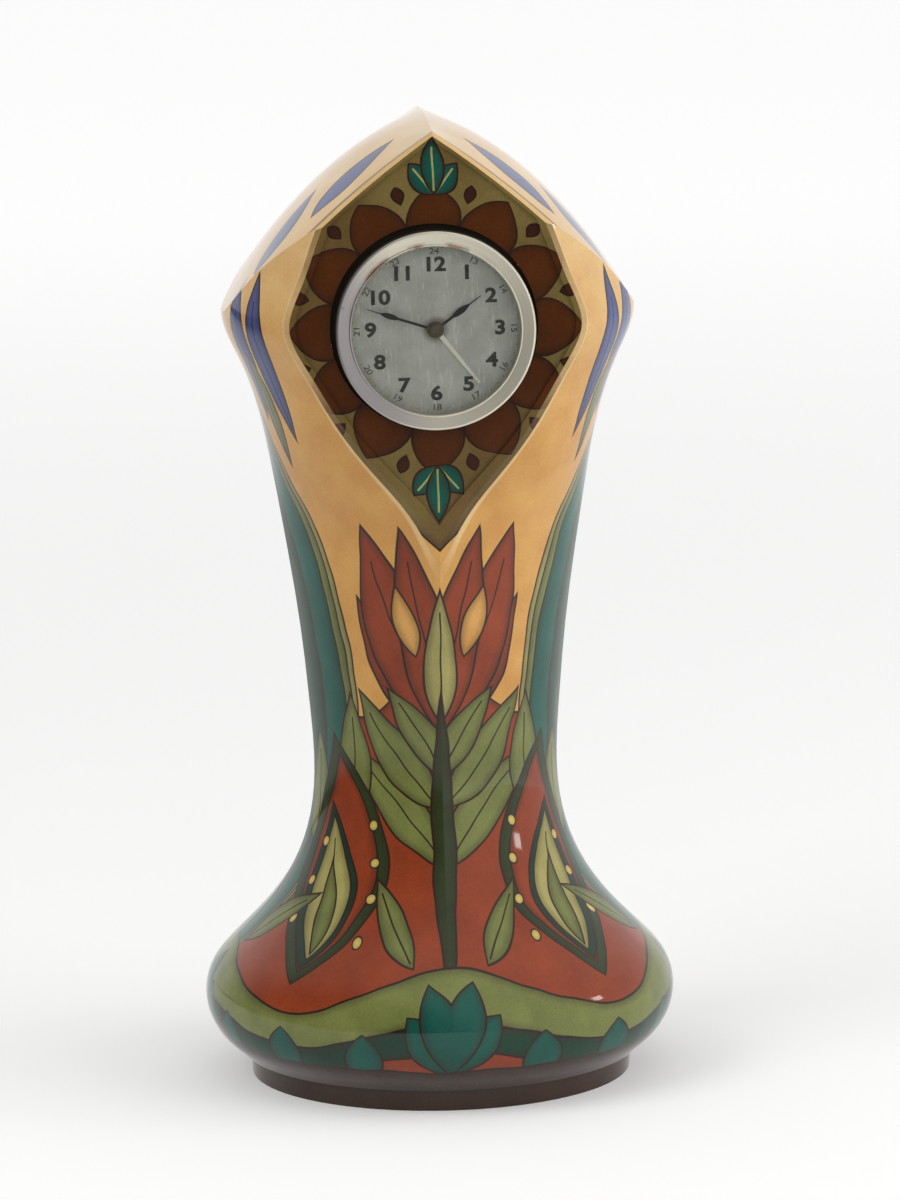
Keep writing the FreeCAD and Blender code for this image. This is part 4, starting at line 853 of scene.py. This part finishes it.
def figure_ring(name, first, ring_radius, figure_size, boldness, turned):
    """Twelve printed figures round the dial, joined in one piece."""
    figures = []
    for number in range(12):
        turn = math.radians(number * 30)
        upside_down = math.pi if turned and 3 < number < 9 else 0.0
        lean = turn + upside_down if turned else 0.0
        bpy.ops.object.select_all(action="DESELECT")
        bpy.ops.object.text_add()
        figure = bpy.context.object
        figure.data.body = str(first + number if number else first + 12)
        figure.data.size = figure_size
        figure.data.align_x = "CENTER"
        figure.data.align_y = "CENTER"
        figure.data.bevel_depth = boldness
        figure.data.bevel_resolution = 1
        figure.data.extrude = figure_thickness
        bpy.ops.object.convert(target="MESH")
        figure = bpy.context.object
        bpy.ops.transform.resize(value=(figure_widening, 1, figure_flattening))
        bpy.ops.object.transform_apply(location=False, rotation=False, scale=True)
        figure.matrix_world = (
            Matrix.Translation((dial_centre.x + ring_radius * math.sin(turn), print_depth,
                                dial_centre.z + ring_radius * math.cos(turn)))
            @ Matrix.Rotation(lean, 4, "Y") @ Matrix.Rotation(math.pi / 2, 4, "X"))
        figures.append(figure)
    return joined(figures, name)


def ink_finish(name, dark, worn):
    """An ink that has worn thin in small patches."""
    ink, tree, shader = new_finish(name)
    patches = noise(tree, object_place(tree), scale=700.0, detail=4.0)["Fac"]
    thinned = soft_step(tree, patches, start=0.35, end=0.7)
    tree.links.new(colour_mix(tree, thinned, dark, worn), shader.inputs["Base Color"])
    shader.inputs["Roughness"].default_value = 0.6
    return ink


def printed(piece, ink):
    """Ink a piece that is printed on the dial."""
    piece.data.materials.clear()
    piece.data.materials.append(ink)
    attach(piece, "root")


bold_ink = ink_finish("olive_black_ink", tint(38, 38, 24), tint(66, 66, 48))
faint_ink = ink_finish("faded_ink", tint(74, 74, 60), tint(128, 130, 116))
hour_figures = figure_ring(
    "hour_figures", first=0, ring_radius=0.0252, figure_size=0.0076, boldness=0.00029, turned=False)
printed(hour_figures, bold_ink)
small_figures = figure_ring(
    "small_figures", first=12, ring_radius=0.0305, figure_size=0.0033, boldness=0.00006, turned=True)
printed(small_figures, faint_ink)

track_radius = 0.0325
mark_width = 0.0002
mark_thickness = 0.00004


def top_mark(length):
    """A mark of the minute track at its place at the top, about the dial's middle."""
    bpy.ops.object.select_all(action="DESELECT")
    bpy.ops.mesh.primitive_cube_add(size=1, location=(0, 0, track_radius - length / 2))
    mark = bpy.context.object
    mark.scale = (mark_width, mark_thickness, length)
    bpy.ops.object.transform_apply(location=True, rotation=True, scale=True)
    return mark


hour_mark = top_mark(length=0.0011)
minute_mark = top_mark(length=0.0007)
marks = []
for minute in range(60):
    pattern = minute_mark if minute % 5 else hour_mark
    mark = pattern.copy()
    mark.data = pattern.data.copy()
    scene.collection.objects.link(mark)
    turn = Matrix.Rotation(math.radians(minute * 6), 4, "Y")
    mark.matrix_world = Matrix.Translation((dial_centre.x, print_depth, dial_centre.z)) @ turn
    marks.append(mark)
bpy.data.objects.remove(hour_mark)
bpy.data.objects.remove(minute_mark)
printed(joined(marks, "minute_track"), faint_ink)


# Hour and minute hands: stamped from steel and blackened. They have gone brown round the hub, like the nut
# and the arbor that hold them.
def browned_hub(tree, wear, blade_tints, hub_tints, hub_radius, blade_radius):
    """A hand's colour, which varies with its wear and turns brown toward the hub."""
    blade_colour = colour_mix(tree, wear, *blade_tints)
    hub_colour = colour_mix(tree, wear, *hub_tints)
    near_hub = soft_step(tree, brushed_round(tree)["Radius"], blade_radius, hub_radius)
    return colour_mix(tree, near_hub, blade_colour, hub_colour)


black, tree, shader = new_finish("blackened_steel")
rust_film = noise(tree, object_place(tree), scale=1500.0, detail=5.0)["Fac"]
black_colour = browned_hub(
    tree, rust_film, blade_tints=(tint(34, 32, 26), tint(22, 20, 18)),
    hub_tints=(tint(112, 98, 74), tint(58, 48, 34)), hub_radius=0.0030, blade_radius=0.0036)
tree.links.new(black_colour, shader.inputs["Base Color"])
tree.links.new(between(tree, rust_film, least=0.3, most=0.7), shader.inputs["Roughness"])
tree.links.new(bump(tree, rust_film, distance=0.00005, strength=0.5), shader.inputs["Normal"])
give_finish(black, ["hour_hand", "minute_hand", "hand_nut", "centre_arbor"])


# Alarm hand: a thin flat blade, stamped with its ring from sheet brass and painted a chalky cream. It is
# broad at the hub and tapers to a blunt tip.
alarm_low, alarm_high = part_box("alarm_hand")
sheet_thickness = alarm_high[1] - alarm_low[1]
sheet_middle = (alarm_high[1] + alarm_low[1]) / 2
ring_outer = dial_centre.x - alarm_low[0]
ring_width = 0.001
overlap_share = 0.6
blade_start = ring_outer - ring_width * overlap_share
tip_offset = Vector((alarm_high[0] - dial_centre.x, alarm_low[2] - dial_centre.z))
half_width_at_hub = 0.00095
half_width_at_tip = 0.00055
edge_bevel = 0.00008
bpy.ops.object.select_all(action="DESELECT")
bpy.ops.mesh.primitive_torus_add(
    major_segments=96, minor_segments=12, major_radius=ring_outer - ring_width / 2,
    minor_radius=ring_width / 2, rotation=(math.pi / 2, 0, 0))
alarm_ring = bpy.context.object
alarm_ring.scale = (1, 1, sheet_thickness / ring_width)
bpy.ops.object.transform_apply(location=True, rotation=True, scale=True)
bpy.ops.object.select_all(action="DESELECT")
bpy.ops.mesh.primitive_cube_add(size=1)
blade = bpy.context.object
for vertex in blade.data.vertices:
    at_tip = vertex.co.z > 0
    half_width = half_width_at_tip if at_tip else half_width_at_hub
    vertex.co = (math.copysign(half_width, vertex.co.x), vertex.co.y * sheet_thickness,
                 tip_offset.length if at_tip else blade_start)
blade.rotation_euler = (0, math.atan2(tip_offset.x, tip_offset.y), 0)
bpy.ops.object.mode_set(mode="EDIT")
bpy.ops.mesh.select_all(action="SELECT")
bpy.ops.mesh.bevel(offset=edge_bevel, segments=2)
bpy.ops.object.mode_set(mode="OBJECT")
bpy.ops.object.transform_apply(location=True, rotation=True, scale=True)
alarm_ring.select_set(True)
bpy.ops.object.join()
blade.name = "alarm_hand_blade"
blade.location = (dial_centre.x, sheet_middle, dial_centre.z)
bpy.ops.object.transform_apply(location=True, rotation=True, scale=True)
pale, tree, shader = new_finish("pale_hand_paint")
chalking = noise(tree, object_place(tree), scale=900.0)["Fac"]
pale_colour = browned_hub(
    tree, chalking, blade_tints=(tint(252, 250, 238), tint(226, 222, 204)),
    hub_tints=(tint(122, 108, 84), tint(74, 62, 46)), hub_radius=0.0032, blade_radius=0.0037)
tree.links.new(pale_colour, shader.inputs["Base Color"])
shader.inputs["Roughness"].default_value = 0.55
give_finish(pale, ["alarm_hand"])
blade.data.materials.append(pale)
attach(blade, "alarm_hand_work")
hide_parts("alarm_hand")


# Movement: two brass plates on pillars, with brass wheels, keys and knobs between and behind them, and steel
# arbors, pinions, springs and clicks. It has kept its colour inside the drum.
steel_grey = tint(150, 150, 150)
brass_yellow = tint(196, 160, 92)
steel = metal_finish("satin_steel", steel_grey, roughness=0.35, grain_scale=800.0, grain_depth=0.00002)
brass = metal_finish("satin_brass", brass_yellow, roughness=0.35, grain_scale=600.0, grain_depth=0.00002)
give_finish(steel, [
    "time_winding_arbor", "time_mainspring", "time_ratchet", "time_click", "centre_pinion", "third_pinion",
    "fourth_pinion", "escape_pinion", "pallet_lever", "balance_staff", "hairspring", "cannon_pinion",
    "minute_stud", "alarm_winding_arbor", "alarm_mainspring", "alarm_ratchet", "alarm_click",
    "alarm_set_arbor", "hammer", "bell_post", "cover_posts", "pillar_nuts", "alarm_stop_button",
])
give_finish(brass, sorted(unfinished))
